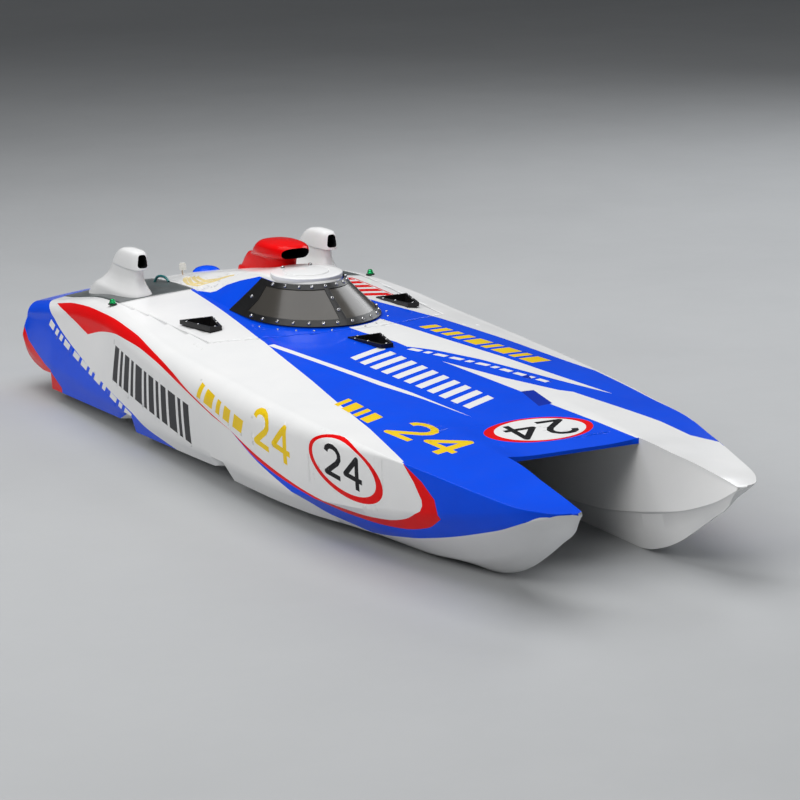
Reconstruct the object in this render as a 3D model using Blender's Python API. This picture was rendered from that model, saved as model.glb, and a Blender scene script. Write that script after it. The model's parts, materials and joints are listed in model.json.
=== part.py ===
"""Large-scale twin-hull radio-controlled racing boat, with drive, steering and radio gear.

Metres, +Z up, bow towards -Y, starboard towards -X.  Stations along the hull are measured
from the sponson tips, aft positive, and moved by HALF_LENGTH into world Y.
"""
import math

import bmesh
import bpy
import numpy as np
from mathutils import Matrix, Vector

for old in list(bpy.data.objects):
    bpy.data.objects.remove(old, do_unlink=True)

# ---------------------------------------------------------------- driving dimensions
LENGTH = 1.640
HALF_LENGTH = LENGTH / 2
LIP = 0.218
STEP_ONE = 0.772
STEP_TWO = 1.126
TRANSOM = 1.486
GAP = 0.0003
SKIN = 0.0028
LEDGE = 0.0031
DECK_THICK = 0.0062
SPONSON_X = 0.166
CRANK_Z = 0.078
PROP_Z = 0.036
HATCH_FRONT = 0.885
COWL_END = 1.290
COVER_END = 1.585
KNOB = (0.2262, 1.284)
RUDDER_S = 1.560
SERVO_S = 1.400
ARM_R = 0.022

parts = bpy.data.collections.new("racing_boat")
bpy.context.scene.collection.children.link(parts)
cutters = bpy.data.collections.new("cutters")
bpy.context.scene.collection.children.link(cutters)


# ---------------------------------------------------------------- small helpers
def material(name, colour, rough, metal=0.0):
    mat = bpy.data.materials.new(name)
    mat.use_nodes = True
    shader = mat.node_tree.nodes["Principled BSDF"]
    shader.inputs["Base Color"].default_value = (*colour, 1.0)
    shader.inputs["Roughness"].default_value = rough
    shader.inputs["Metallic"].default_value = metal
    mat.diffuse_color = (*colour, 1.0)
    return mat


def curve(points, s):
    """Smooth value at s through the given (station, value) points, with no overshoot."""
    xs = np.array([p[0] for p in points], dtype=float)
    ys = np.array([p[1] for p in points], dtype=float)
    s = min(max(s, xs[0]), xs[-1])
    steps = np.diff(xs)
    slopes = np.diff(ys) / steps
    tangents = np.zeros(len(xs))
    tangents[0] = slopes[0]
    tangents[-1] = slopes[-1]
    for i in range(1, len(xs) - 1):
        if slopes[i - 1] * slopes[i] > 0:
            wa = 2 * steps[i] + steps[i - 1]
            wb = steps[i] + 2 * steps[i - 1]
            tangents[i] = (wa + wb) / (wa / slopes[i - 1] + wb / slopes[i])
    i = int(np.clip(np.searchsorted(xs, s) - 1, 0, len(xs) - 2))
    h = steps[i]
    t = (s - xs[i]) / h
    a = (1 + 2 * t) * (1 - t) ** 2 * ys[i] + t * (1 - t) ** 2 * h * tangents[i]
    b = t * t * (3 - 2 * t) * ys[i + 1] + t * t * (t - 1) * h * tangents[i + 1]
    return float(a + b)


def world(x, s, z):
    return Vector((x, s - HALF_LENGTH, z))


def from_bmesh(name, bm, home=parts, mat=None):
    bmesh.ops.recalc_face_normals(bm, faces=bm.faces)
    mesh = bpy.data.meshes.new(name)
    bm.to_mesh(mesh)
    bm.free()
    obj = bpy.data.objects.new(name, mesh)
    home.objects.link(obj)
    if home is cutters:
        obj.hide_render = True
        obj.display_type = "WIRE"
    if mat:
        obj.data.materials.append(mat)
    return obj


def loft(name, rings, home=parts, mat=None):
    """Closed body through rings of equal point count, both ends capped."""
    bm = bmesh.new()
    rows = [[bm.verts.new(p) for p in ring] for ring in rings]
    count = len(rows[0])
    for a, b in zip(rows, rows[1:]):
        for i in range(count):
            j = (i + 1) % count
            bm.faces.new((a[i], a[j], b[j], b[i]))
    bm.faces.new(rows[0])
    bm.faces.new(rows[-1])
    return from_bmesh(name, bm, home, mat)


def prism(name, outline, low, high, home=cutters, mat=None):
    """Upright prism over an outline of (x, station) points."""
    rings = [[world(x, s, z) for x, s in outline] for z in (low, high)]
    return loft(name, rings, home, mat)


def block(name, x, s, z, home=parts, mat=None, bevel=0.0, segments=2):
    """Box between the given (low, high) limits, edges rounded by bevel."""
    bm = bmesh.new()
    bmesh.ops.create_cube(bm, size=1.0)
    size = Vector((x[1] - x[0], s[1] - s[0], z[1] - z[0]))
    middle = world((x[0] + x[1]) / 2, (s[0] + s[1]) / 2, (z[0] + z[1]) / 2)
    bmesh.ops.scale(bm, vec=size, verts=bm.verts)
    if bevel:
        bmesh.ops.bevel(bm, geom=list(bm.edges), offset=bevel, segments=segments,
                        profile=0.5, affect="EDGES")
    bmesh.ops.translate(bm, vec=middle, verts=bm.verts)
    return from_bmesh(name, bm, home, mat)


def turned(name, profile, centre, axis, home=parts, mat=None, segments=20):
    """Solid of revolution: profile of (radius, height) along axis, ends on the axis."""
    bm = bmesh.new()
    points = [(0.0, profile[0][1])] + list(profile) + [(0.0, profile[-1][1])]
    verts = [bm.verts.new((r, 0.0, h)) for r, h in points]
    edges = [bm.edges.new(pair) for pair in zip(verts, verts[1:])]
    bmesh.ops.spin(bm, geom=verts + edges, cent=(0, 0, 0), axis=(0, 0, 1),
                   angle=math.tau, steps=segments, use_merge=True)
    bmesh.ops.remove_doubles(bm, verts=bm.verts, dist=1e-6)
    turn = Vector((0, 0, 1)).rotation_difference(Vector(axis)).to_matrix().to_4x4()
    bmesh.ops.transform(bm, matrix=Matrix.Translation(centre) @ turn, verts=bm.verts)
    return from_bmesh(name, bm, home, mat)


def rod(name, r, start, end, home=parts, mat=None, segments=16):
    run = Vector(end) - Vector(start)
    return turned(name, [(r, 0.0), (r, run.length)], start, run, home, mat, segments)


def tube_path(name, points, r, home=parts, mat=None, resolution=2):
    """Round bar swept along straight legs between points."""
    data = bpy.data.curves.new(name, "CURVE")
    data.dimensions = "3D"
    data.bevel_depth = r
    data.bevel_resolution = resolution
    data.use_fill_caps = True
    spline = data.splines.new("POLY")
    spline.points.add(len(points) - 1)
    for slot, p in zip(spline.points, points):
        slot.co = (*p, 1.0)
    swept = bpy.data.objects.new(name + "_path", data)
    cutters.objects.link(swept)
    bpy.context.view_layer.update()
    mesh = bpy.data.meshes.new_from_object(swept.evaluated_get(bpy.context.evaluated_depsgraph_get()))
    bpy.data.objects.remove(swept, do_unlink=True)
    bm = bmesh.new()
    bm.from_mesh(mesh)
    bpy.data.meshes.remove(mesh)
    bmesh.ops.remove_doubles(bm, verts=bm.verts, dist=1e-6)
    return from_bmesh(name, bm, home, mat)


def combine(target, tool, how="DIFFERENCE", keep=False):
    mod = target.modifiers.new(how.lower(), "BOOLEAN")
    mod.operation = how
    mod.solver = "EXACT"
    mod.object = tool
    bpy.context.view_layer.update()
    result = target.evaluated_get(bpy.context.evaluated_depsgraph_get())
    mesh = bpy.data.meshes.new_from_object(result)
    target.modifiers.clear()
    old = target.data
    target.data = mesh
    bpy.data.meshes.remove(old)
    if not keep:
        bpy.data.objects.remove(tool, do_unlink=True)
    return target


def join(target, tool):
    return combine(target, tool, "UNION")


def cut(target, tool, keep=False):
    return combine(target, tool, "DIFFERENCE", keep)


def shifted(source, dz, name="shifted"):
    twin = bpy.data.objects.new(name, source.data.copy())
    cutters.objects.link(twin)
    twin.data.transform(Matrix.Translation((0, 0, dz)))
    return twin


def tidy(obj, mat, merge=2e-5):
    """One clean closed body with a single material."""
    bm = bmesh.new()
    bm.from_mesh(obj.data)
    bmesh.ops.remove_doubles(bm, verts=bm.verts, dist=merge)
    bmesh.ops.dissolve_degenerate(bm, edges=bm.edges, dist=merge / 2)
    for face in bm.faces:
        face.material_index = 0
    bmesh.ops.triangulate(bm, faces=[f for f in bm.faces if len(f.verts) > 4])
    bmesh.ops.recalc_face_normals(bm, faces=bm.faces)
    bm.to_mesh(obj.data)
    bm.free()
    obj.data.materials.clear()
    obj.data.materials.append(mat)
    return obj


def place_origin(obj, point):
    """Move an object's origin onto its joint axis without moving its shape."""
    obj.data.transform(Matrix.Translation(-Vector(point)))
    obj.location = Vector(point)
    return obj


def mirrored(obj, name):
    """Port-starboard twin of an object."""
    bpy.context.view_layer.update()
    twin = bpy.data.objects.new(name, obj.data.copy())
    parts.objects.link(twin)
    twin.data.transform(obj.matrix_world.copy())
    twin.data.transform(Matrix.Scale(-1, 4, (1, 0, 0)))
    twin.data.flip_normals()
    if obj.location.length:
        place_origin(twin, (-obj.location.x, obj.location.y, obj.location.z))
    return twin


# ---------------------------------------------------------------- materials
GEL_WHITE = material("gelcoat_white", (0.86, 0.87, 0.88), 0.12)
PAINT_BLUE = material("paint_blue", (0.01, 0.10, 0.75), 0.12)
PAINT_RED = material("paint_red", (0.75, 0.01, 0.01), 0.15)
SMOKED = material("smoked_window", (0.10, 0.09, 0.08), 0.08)
FRAME_BLACK = material("frame_black", (0.01, 0.01, 0.01), 0.3)
DARK_PANEL = material("dark_panel", (0.10, 0.11, 0.11), 0.35)
DUCT_BLACK = material("duct_black", (0.015, 0.015, 0.015), 0.25)
GREEN_ALU = material("anodised_green", (0.01, 0.45, 0.12), 0.3, 1.0)
WASHER_BLACK = material("washer_black", (0.01, 0.01, 0.01), 0.5)
TEAL_TUBE = material("teal_tube", (0.01, 0.22, 0.22), 0.3)
PLUG_WHITE = material("plug_white", (0.8, 0.8, 0.78), 0.4)
CAST_ALU = material("cast_aluminium", (0.55, 0.56, 0.58), 0.4, 1.0)
FAN_BLACK = material("fan_black", (0.03, 0.03, 0.03), 0.5)
STEEL = material("steel", (0.6, 0.6, 0.62), 0.25, 1.0)
BRASS = material("brass", (0.8, 0.6, 0.25), 0.3, 1.0)
TANK = material("tank_plastic", (0.75, 0.74, 0.66), 0.4)
BOX_PLASTIC = material("box_plastic", (0.25, 0.26, 0.28), 0.4)
SERVO_PLASTIC = material("servo_plastic", (0.02, 0.02, 0.025), 0.4)
BATTERY = material("battery_wrap", (0.02, 0.08, 0.3), 0.4)
SWITCH_RED = material("switch_red", (0.6, 0.02, 0.02), 0.4)

# ---------------------------------------------------------------- hull lines
# Each line is a short list of (station, value) points, joined smoothly.
SIDE_X = [(0, .118), (.006, .1405), (.02, .153), (.054, .171), (.125, .189), (.163, .1975),
          (.218, .208), (.288, .2225), (.4, .240), (.5, .254), (.6, .263), (.73, .270),
          (.88, .272), (1.01, .269), (1.15, .261), (1.28, .251), (1.47, .248), (1.64, .245)]
ROUND = [(0, .0006), (.054, .0015), (.29, .002), (.4, .012), (.6, .024), (.8, .030),
         (1.3, .030), (1.64, .022)]
EDGE_Z = [(0, .1337), (.054, .1345), (.125, .139), (.163, .142), (.3, .1515), (.5, .159),
          (.73, .167), (.964, .174), (1.28, .1895), (1.36, .186), (1.47, .169),
          (1.52, .160), (1.64, .138)]
CENTRE_Z = [(0, .1345), (.1, .1405), (.218, .1515), (.311, .1594), (.5, .172), (.8, .190),
            (.885, .1945), (1.0, .199), (1.15, .2015), (1.29, .2015), (1.36, .198),
            (1.5, .182), (1.64, .154)]
RAISE_Z = [(0, 0), (.05, .0045), (.105, .0065), (.174, .0065), (.218, .0045), (.3, .003),
           (.5, 0), (1.64, 0)]
KNUCKLE_X = [(0, .1175), (.006, .139), (.02, .1515), (.054, .1695), (.125, .187),
             (.218, .2055), (.4, .237), (.5, .250), (.6, .2585), (.73, .262), (.88, .263),
             (1.47, .264), (1.64, .255)]
KNUCKLE_Z = [(0, .1325), (.02, .131), (.054, .126), (.125, .112), (.218, .092), (.4, .066),
             (.55, .055), (.76, .050), (1.1, .046), (1.49, .058), (1.53, .056), (1.58, .058),
             (1.61, .064), (1.63, .072), (1.64, .082)]
CHINE_X = [(0, .1165), (.006, .137), (.02, .149), (.054, .165), (.1, .172), (.15, .1775),
           (.2, .183), (.25, .189), (.3, .196), (.44, .206), (.56, .229), (.66, .240),
           (.77, .2455), (.83, .2505), (1.126, .2565), (1.485, .262)]
CHINE_Z = [(0, .1315), (.006, .1315), (.02, .127), (.054, .1145), (.1, .096), (.15, .080),
           (.2, .065), (.25, .052), (.3, .041), (.44, .022), (.56, .020), (1.64, .020)]
STRAKE_X = [(0, .1155), (.006, .121), (.02, .127), (.054, .135), (.1, .137), (.13, .137),
            (.17, .141), (.228, .150), (.342, .165), (.43, .177), (.77, .180), (1.5, .185)]
STRAKE_Z = [(0, .1305), (.006, .128), (.02, .116), (.054, .0985), (.1, .069), (.13, .050),
            (.17, .035), (.228, .0207), (.342, .010), (.43, .011), (1.5, .011)]
KEEL_X = [(0, .1125), (.02, .1105), (.054, .109), (.1, .108), (1.5, .108)]
KEEL_Z = [(0, .1295), (.006, .1245), (.012, .1165), (.02, .1045), (.054, .081), (.1, .051),
          (.136, .030), (.177, .0125), (.21, .003), (.235, 0), (1.5, 0)]
INNER_X = [(0, .111), (.02, .1065), (.05, .1035), (.1, .101), (.174, .0995), (.3, .0985),
           (1.5, .098)]
INNER_Z = [(0, .131), (.01, .124), (.035, .109), (.0756, .092), (.117, .078), (.174, .064),
           (.233, .051), (.324, .0356), (.45, .027), (.77, .022), (1.5, .022)]
WALL_X = [(0, .1125), (.01, .1122), (.05, .110), (.105, .1065), (.16, .101), (.218, .0985),
          (1.64, .0985)]
ROOF_Z = [(0, .1465), (.218, .1465), (.30, .140), (.45, .124), (.65, .105), (.8, .096),
          (1.0, .092), (1.64, .090)]
SKIRT_Z = [(1.486, .046), (1.53, .043), (1.58, .046), (1.61, .052), (1.63, .061), (1.64, .072)]
KEEL_LIFT = [(.772, 0), (.7735, .009), (1.126, 0), (1.1275, .009), (1.485, 0)]
CHINE_LIFT = [(.772, 0), (.7735, .020), (.80, .020), (.83, .010), (1.126, 0), (1.1275, .022),
              (1.16, .022), (1.19, .009), (1.485, 0)]
STATIONS = [0, .006, .02, .054, .1, .15, .19, .218, .26, .31, .4, .5, .6, .7, .772, .7735, .8,
            .83, .95, 1.05, 1.126, 1.1275, 1.16, 1.19, 1.28, 1.36, 1.44, 1.485, 1.4865, 1.53,
            1.58, 1.61, 1.63, 1.64]


def deck_z(x, s):
    """Height of the crowned deck."""
    side = curve(SIDE_X, s) - curve(ROUND, s)
    part = min(abs(x) / side, 1.0) ** 2
    centre = curve(CENTRE_Z, s)
    return centre - (centre - curve(EDGE_Z, s)) * part


def lift(points, s):
    return float(np.interp(s, [p[0] for p in points], [p[1] for p in points], 0, 0))


def half_section(s):
    """Port half of the hull section, from the inner deck edge round to the tunnel corner."""
    if s == 0:
        turns = [math.radians(140 - i * 335 / 14) for i in range(15)]
        return [(.1150 + .0026 * math.cos(t), .1316 + .0022 * math.sin(t)) for t in turns]
    side = curve(SIDE_X, s)
    r = curve(ROUND, s)
    shoulder = deck_z(side - r, s)
    wall = curve(WALL_X, s)
    top = deck_z(wall, s) + curve(RAISE_Z, s)
    mid_x = (wall + side - r) / 2
    mid_z = deck_z(mid_x, s) + curve(RAISE_Z, s) * 0.35
    upper = [(wall, top), (mid_x, mid_z), (side - r, shoulder),
             (side - r * 0.45, shoulder - r * 0.24), (side - r * 0.10, shoulder - r * 0.62)]
    upper.append((side, shoulder - r * 1.15))
    knuckle = (curve(KNUCKLE_X, s), curve(KNUCKLE_Z, s))
    low = upper[-1]
    upper.append(((low[0] * 0.5 + knuckle[0] * 0.5) + 0.0012 * min(1, s), (low[1] + knuckle[1]) / 2))
    upper.append(knuckle)
    roof = curve(ROOF_Z, s)
    if s > TRANSOM:
        skirt = curve(SKIRT_Z, s)
        outer = knuckle[0] - 0.002
        lower = [(outer, skirt), (outer - 0.020, skirt + 0.001), (outer - 0.022, roof - 0.004),
                 (0.170, roof - 0.001), (0.140, roof - 0.0005), (0.110, roof - 0.0002)]
        return upper + lower + [(wall, roof)]
    rise = lift(KEEL_LIFT, s)
    chine = (curve(CHINE_X, s), curve(CHINE_Z, s) + lift(CHINE_LIFT, s))
    strake = (curve(STRAKE_X, s), curve(STRAKE_Z, s) + rise)
    keel_x = curve(KEEL_X, s)
    keel_z = curve(KEEL_Z, s) + rise
    pad = (keel_x + 0.25 * (strake[0] - keel_x), keel_z + 0.12 * (strake[1] - keel_z))
    inner_x = curve(INNER_X, s)
    inner_z = curve(INNER_Z, s)
    step_in = min(0.003, 0.0004 + s * 0.05)
    step_down = min(0.0035, 0.0003 + s * 0.08)
    corner = roof if s >= LIP - 1e-6 else min(top - 0.002 - 0.01 * min(s, LIP), 0.1465)
    return upper + [chine, strake, pad, (keel_x, keel_z), (inner_x + 0.0012, inner_z - step_down),
                    (inner_x + 0.0012 - step_in, inner_z), (wall, corner)]


def hull_solid(name):
    """Closed outer form of the twin hull: two sponsons joined by the tunnel deck."""
    bm = bmesh.new()
    sides = {}
    middles = {}
    for s in STATIONS:
        ring = half_section(s)
        for sign in (1, -1):
            sides[s, sign] = [bm.verts.new(world(sign * x, s, z)) for x, z in ring]
        if s >= LIP - 1e-6:
            wall, top = ring[0]
            roof = ring[-1][1]
            deck_row = []
            roof_row = []
            for part in (-0.67, -0.34, 0.0, 0.34, 0.67):
                x = wall * part
                blend = curve(RAISE_Z, s) * part ** 4
                deck_row.append(bm.verts.new(world(x, s, deck_z(x, s) + blend)))
                roof_row.append(bm.verts.new(world(x, s, roof)))
            deck = [sides[s, -1][0]] + deck_row + [sides[s, 1][0]]
            under = [sides[s, -1][-1]] + roof_row + [sides[s, 1][-1]]
            middles[s] = (deck, under)
    count = len(sides[0, 1])
    for a, b in zip(STATIONS, STATIONS[1:]):
        for sign in (1, -1):
            one = sides[a, sign]
            two = sides[b, sign]
            for i in range(count - 1):
                bm.faces.new((one[i], one[i + 1], two[i + 1], two[i]))
            if a < LIP - 1e-6:
                bm.faces.new((one[-1], one[0], two[0], two[-1]))
        if a >= LIP - 1e-6:
            for row_a, row_b in zip(middles[a], middles[b]):
                for i in range(len(row_a) - 1):
                    bm.faces.new((row_a[i], row_a[i + 1], row_b[i + 1], row_b[i]))
    for sign in (1, -1):
        bm.faces.new(sides[0, sign])
    last = STATIONS[-1]
    for end in (LIP, last):
        deck, under = middles[end]
        for i in range(len(deck) - 1):
            bm.faces.new((deck[i], deck[i + 1], under[i + 1], under[i]))
    for sign in (1, -1):
        bm.faces.new(sides[last, sign])
    bmesh.ops.triangulate(bm, faces=bm.faces)
    return from_bmesh(name, bm, cutters)


def sponson_cavity(name, sign):
    rings = []
    for s in (.15, .25, .35, .5, .65, .8, .95, 1.1, 1.2, 1.3, 1.4, 1.476):
        side = curve(SIDE_X, s)
        r = curve(ROUND, s)
        wall = curve(WALL_X, s) + 0.006
        top = -DECK_THICK - 0.0012
        keel = curve(KEEL_Z, s)
        floor_in = max(keel + 0.014, curve(INNER_Z, s) * 0.55)
        floor_out = max(0.047, curve(CHINE_Z, s) + 0.020)
        outer = side - r - 0.004
        points = [(wall, deck_z(wall, s) + top), ((wall + outer) / 2, deck_z((wall + outer) / 2, s) + top),
                  (outer, deck_z(outer, s) + top), (side - 0.0075, deck_z(outer, s) - r - 0.006),
                  (curve(KNUCKLE_X, s) - 0.010, max(curve(KNUCKLE_Z, s) + 0.012, floor_out + 0.010)),
                  (curve(CHINE_X, s) - 0.016, floor_out), (0.118, floor_in),
                  (wall + 0.001, floor_in + 0.012)]
        rings.append([world(sign * x, s, z) for x, z in points])
    return loft(name, rings, cutters)


def centre_cavity(name):
    rings = []
    for s in (.40, .5, .65, .8, .95, 1.1, 1.25, 1.36, 1.47):
        reach = 0.122
        low = curve(ROOF_Z, s) + 0.0045
        row = [(x, deck_z(x, s) - DECK_THICK) for x in (-reach, -0.06, 0, 0.06, reach)]
        rings.append([world(x, s, z) for x, z in row + [(reach, low), (-reach, low)]])
    return loft(name, rings, cutters)


def stern_cavity(name):
    rings = []
    for s in (1.46, 1.53, 1.60, 1.628):
        low = curve(ROOF_Z, s) + 0.0055
        xs = (-0.218, -0.11, 0, 0.11, 0.218)
        row = [(x, deck_z(x, s) - DECK_THICK - 0.0024) for x in xs]
        rings.append([world(x, s, z) for x, z in row + [(0.218, low), (-0.218, low)]])
    return loft(name, rings, cutters)


def both_sides(half):
    """Full outline from the port half of an outline that starts and ends on the middle line."""
    port = [(x, s) for x, s in half]
    starboard = [(-x, s) for x, s in half if x > 1e-6]
    return port + starboard[::-1]


def cowl_outline(g):
    return both_sides([(0, HATCH_FRONT + g), (.05, .890 + g), (.10, .907 + g), (.15, .934 + g),
                       (.195 - g, .966 + g), (.2135 - g, COWL_END - g), (.085 - g, COWL_END - g),
                       (.080 - g, 1.40), (.055 - g, 1.56 - g), (0, 1.574 - g)])


def cover_outline(g):
    return [(.085 + g, COWL_END + g), (.2135 - g, COWL_END + g), (.2135 - g, 1.50),
            (.200 - g, COVER_END - g), (g, COVER_END - g), (g, 1.574 + g), (.055 + g, 1.56 + g),
            (.080 + g, 1.40)]


def hatch_outline(g):
    return both_sides([(0, HATCH_FRONT - g), (.05, .890 - g), (.10, .907 - g), (.15, .934 - g),
                       (.195 + g, .966 - g), (.2135 + g, COWL_END), (.2135 + g, 1.50),
                       (.200 + g, COVER_END + g), (0, COVER_END + g)])


def duct_outline(x, s, g):
    """Narrow end forward, wide end aft, centred on x with its front at s."""
    return [(x - .010 - g, s - g), (x + .010 + g, s - g), (x + .027 + g, s + .077 + g),
            (x - .027 - g, s + .077 + g)]


DUCTS = {"duct_port": (.1665, 1.009), "duct_centre": (0.0, .764)}

outer = hull_solid("outer_form")
hull = shifted(outer, 0.0, "hull_shell")
cutters.objects.unlink(hull)
parts.objects.link(hull)
hollow = sponson_cavity("hollow_port", 1)
join(hollow, sponson_cavity("hollow_starboard", -1))
join(hollow, centre_cavity("hollow_middle"))
join(hollow, stern_cavity("hollow_stern"))
cut(hull, hollow)
recess = prism("recess", hatch_outline(0.0003), 0.10, 0.30)
cut(recess, shifted(outer, -LEDGE))
cut(hull, recess)
cut(hull, prism("opening", hatch_outline(-0.008), 0.12, 0.30))
x0, s0 = DUCTS["duct_centre"]
cut(hull, prism("duct_hole", duct_outline(x0, s0, -0.0022), 0.15, 0.30))

# drive line: engine shaft height down to the propeller shaft through the sponson transom
TUBE_PATH = [(SPONSON_X, 1.318, CRANK_Z), (SPONSON_X, 1.345, CRANK_Z - .0012),
             (SPONSON_X, 1.375, CRANK_Z - .007), (SPONSON_X, 1.405, CRANK_Z - .017),
             (SPONSON_X, 1.435, PROP_Z + .014), (SPONSON_X, 1.465, PROP_Z + .0045),
             (SPONSON_X, 1.4866, PROP_Z + .0008)]


def path_points(sign, path):
    return [world(sign * x, s, z) for x, s, z in path]


for sign in (1, -1):
    bore = path_points(sign, TUBE_PATH[2:] + [(SPONSON_X, 1.52, PROP_Z)])
    cut(hull, tube_path("shaft_hole", bore, 0.0045, cutters))
    stinger = [world(sign * 0.068, 1.60, 0.124), world(sign * 0.068, 1.66, 0.124)]
    cut(hull, rod("pipe_hole", 0.0085, stinger[0], stinger[1], cutters, segments=20))
    stud = [world(sign * KNOB[0], KNOB[1], 0.17), world(sign * KNOB[0], KNOB[1], 0.22)]
    cut(hull, rod("knob_hole", 0.0024, stud[0], stud[1], cutters, segments=12))
cut(hull, rod("rudder_hole", 0.0046, world(0, RUDDER_S, 0.07), world(0, RUDDER_S, 0.11), cutters))
tidy(hull, GEL_WHITE)

# ---------------------------------------------------------------- hatch cowl and canopy
CANOPY_FADE = [(1.10, 1.0), (1.2, .72), (1.3, .38), (1.38, .19), (1.5, .05), (1.56, 0.0)]
CANOPY_LEVELS = [(.096, 1.03, .123, .515, .1900), (.0960, 1.03, .1230, .52, .2022),
                 (.0765, 1.04, .0960, .49, .2262), (.0570, 1.05, .0690, .46, .2480),
                 (.0535, 1.05, .0645, .42, .2525), (.0300, 1.06, .0400, .30, .2560),
                 (.0080, 1.08, .0200, .10, .2582)]


def canopy_ring(level, inset=0.0, count=28, tail=None):
    width, middle, front, back, height = level
    back = tail if tail else back
    ring = []
    for i in range(count):
        turn = math.tau * i / count
        x = (width - inset) * math.sin(turn)
        reach = (front if math.cos(turn) > 0 else back) - inset
        s = middle - reach * math.cos(turn)
        fade = float(np.interp(s, [p[0] for p in CANOPY_FADE], [p[1] for p in CANOPY_FADE]))
        base = curve(CENTRE_Z, s) if s > 1.15 else 0.2015
        if height < 0.2:
            z = base - 0.0115
        else:
            z = base + (height - 0.2015) * fade - inset
        ring.append(world(x, s, z))
    return ring


canopy = loft("canopy_form", [canopy_ring(level) for level in CANOPY_LEVELS], cutters)
flat = bmesh.new()
flat.from_mesh(canopy.data)
bmesh.ops.triangulate(flat, faces=flat.faces)
flat.to_mesh(canopy.data)
flat.free()
room_levels = [(.0975, 1.03, .1245, .300, .1840)] + [
    (w, m, f, min(b, .30 - .03 * i), h) for i, (w, m, f, b, h) in enumerate(CANOPY_LEVELS[1:6])]
room_rings = [[p + Vector((0, 0, -0.012)) for p in canopy_ring(room_levels[0], 0.004)]]
room_rings += [canopy_ring(level, 0.0032) for level in room_levels[1:]]
room = loft("canopy_room", room_rings, cutters)

cowl = prism("hatch_cowl", cowl_outline(0.0003), 0.125, 0.30, parts)
combine(cowl, outer, "INTERSECT", keep=True)
cut(cowl, shifted(outer, -SKIN))
combine(cowl, canopy, "UNION", keep=True)
cut(cowl, room)
for sign in (1, -1):
    x0, s0 = DUCTS["duct_port"]
    cut(cowl, prism("duct_hole", duct_outline(sign * x0, s0, -0.0022), 0.15, 0.30))
cut(cowl, rod("lead_hole", 0.0022, world(-.034, 1.455, .15), world(-.034, 1.455, .22), cutters,
              segments=10))
tidy(cowl, GEL_WHITE)
cowl_top = shifted(cowl, GAP, "cowl_top")


# ---------------------------------------------------------------- windshield
def screen_point(turn, v, out):
    """Point on the window band: turn in degrees from the nose, v from sill to head."""
    sill = (.0975, 1.03, .1245, .52, .2022)
    head = (.0585, 1.05, .0705, .46, .2480)
    w, m, f, b, h = [a + (c - a) * v for a, c in zip(sill, head)]
    end = 98.5 + (93.0 - 98.5) * v
    angle = math.radians(turn * end / 98.5)
    reach = f if math.cos(angle) > 0 else b
    x = w * math.sin(angle)
    s = m - reach * math.cos(angle)
    nx = math.sin(angle) / w
    ns = -math.cos(angle) / reach
    slope = Vector((nx, ns, 0)).normalized()
    normal = (slope * 0.76 + Vector((0, 0, 0.65))).normalized()
    return world(x, s, h) + normal * out


def screen_panel(name, turns, levels, keep, low, high, mat):
    """Thin curved panel made of the kept cells of a turn-by-level grid."""
    bm = bmesh.new()
    skins = []
    for out in (low, high):
        skins.append([[bm.verts.new(screen_point(t, v, out)) for v in levels] for t in turns])
    cells = {(i, j) for i in range(len(turns) - 1) for j in range(len(levels) - 1) if keep(i, j)}
    for i, j in cells:
        for skin in skins:
            bm.faces.new((skin[i][j], skin[i + 1][j], skin[i + 1][j + 1], skin[i][j + 1]))
        for di, dj, one, two in ((-1, 0, (0, 0), (0, 1)), (1, 0, (1, 0), (1, 1)),
                                 (0, -1, (0, 0), (1, 0)), (0, 1, (0, 1), (1, 1))):
            if (i + di, j + dj) not in cells:
                a = (i + one[0], j + one[1])
                b = (i + two[0], j + two[1])
                bm.faces.new((skins[0][a[0]][a[1]], skins[0][b[0]][b[1]],
                              skins[1][b[0]][b[1]], skins[1][a[0]][a[1]]))
    loose = [v for v in bm.verts if not v.link_faces]
    bmesh.ops.delete(bm, geom=loose, context="VERTS")
    return from_bmesh(name, bm, parts, mat)


FRAME_SILL = 0.16
FRAME_HEAD = 0.86
TURNS = [-98.5, -92.5, -78, -64, -50, -36, -24, -13, -3.6, 3.6, 13, 24, 36, 50, 64, 78, 92.5, 98.5]
LEVELS = [0.0, FRAME_SILL, 0.5, FRAME_HEAD, 1.0]


def in_frame(i, j):
    return j in (0, 3) or i in (0, 8, 16)


frame = screen_panel("windshield_frame", TURNS, LEVELS, in_frame, 0.0005, 0.0026, FRAME_BLACK)
BOLT_TURNS = [-88, -73, -58, -44, -31, -19, -7, 7, 19, 31, 44, 58, 73, 88]
HEAD_TURNS = [-80, -58, -38, -20, 0, 20, 38, 58, 80]


def bolt_head(turn, v, r=0.0028):
    base = screen_point(turn, v, 0.0010)
    tip = screen_point(turn, v, 0.0050)
    profile = [(r, 0.0), (r, 0.0034)]
    return turned("bolt", profile, base, tip - base, cutters, segments=6)


for turn in BOLT_TURNS:
    join(frame, bolt_head(turn, 0.075))
for turn in HEAD_TURNS:
    join(frame, bolt_head(turn, 0.93))
for v in (0.36, 0.64):
    join(frame, bolt_head(0, v))
for turn in (-95.5, 95.5):
    join(frame, bolt_head(turn, 0.5))
tidy(frame, FRAME_BLACK)
PANE_TURNS = [-92.0, -78, -64, -50, -36, -24, -13, -4.1]
PANE_LEVELS = [FRAME_SILL + 0.010, 0.38, 0.62, FRAME_HEAD - 0.010]
starboard_pane = screen_panel("window_stbd", PANE_TURNS, PANE_LEVELS, lambda i, j: True, 0.0005,
                              0.0020, SMOKED)
port_pane = screen_panel("window_port", [-t for t in PANE_TURNS][::-1], PANE_LEVELS,
                         lambda i, j: True, 0.0005, 0.0020, SMOKED)

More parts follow.
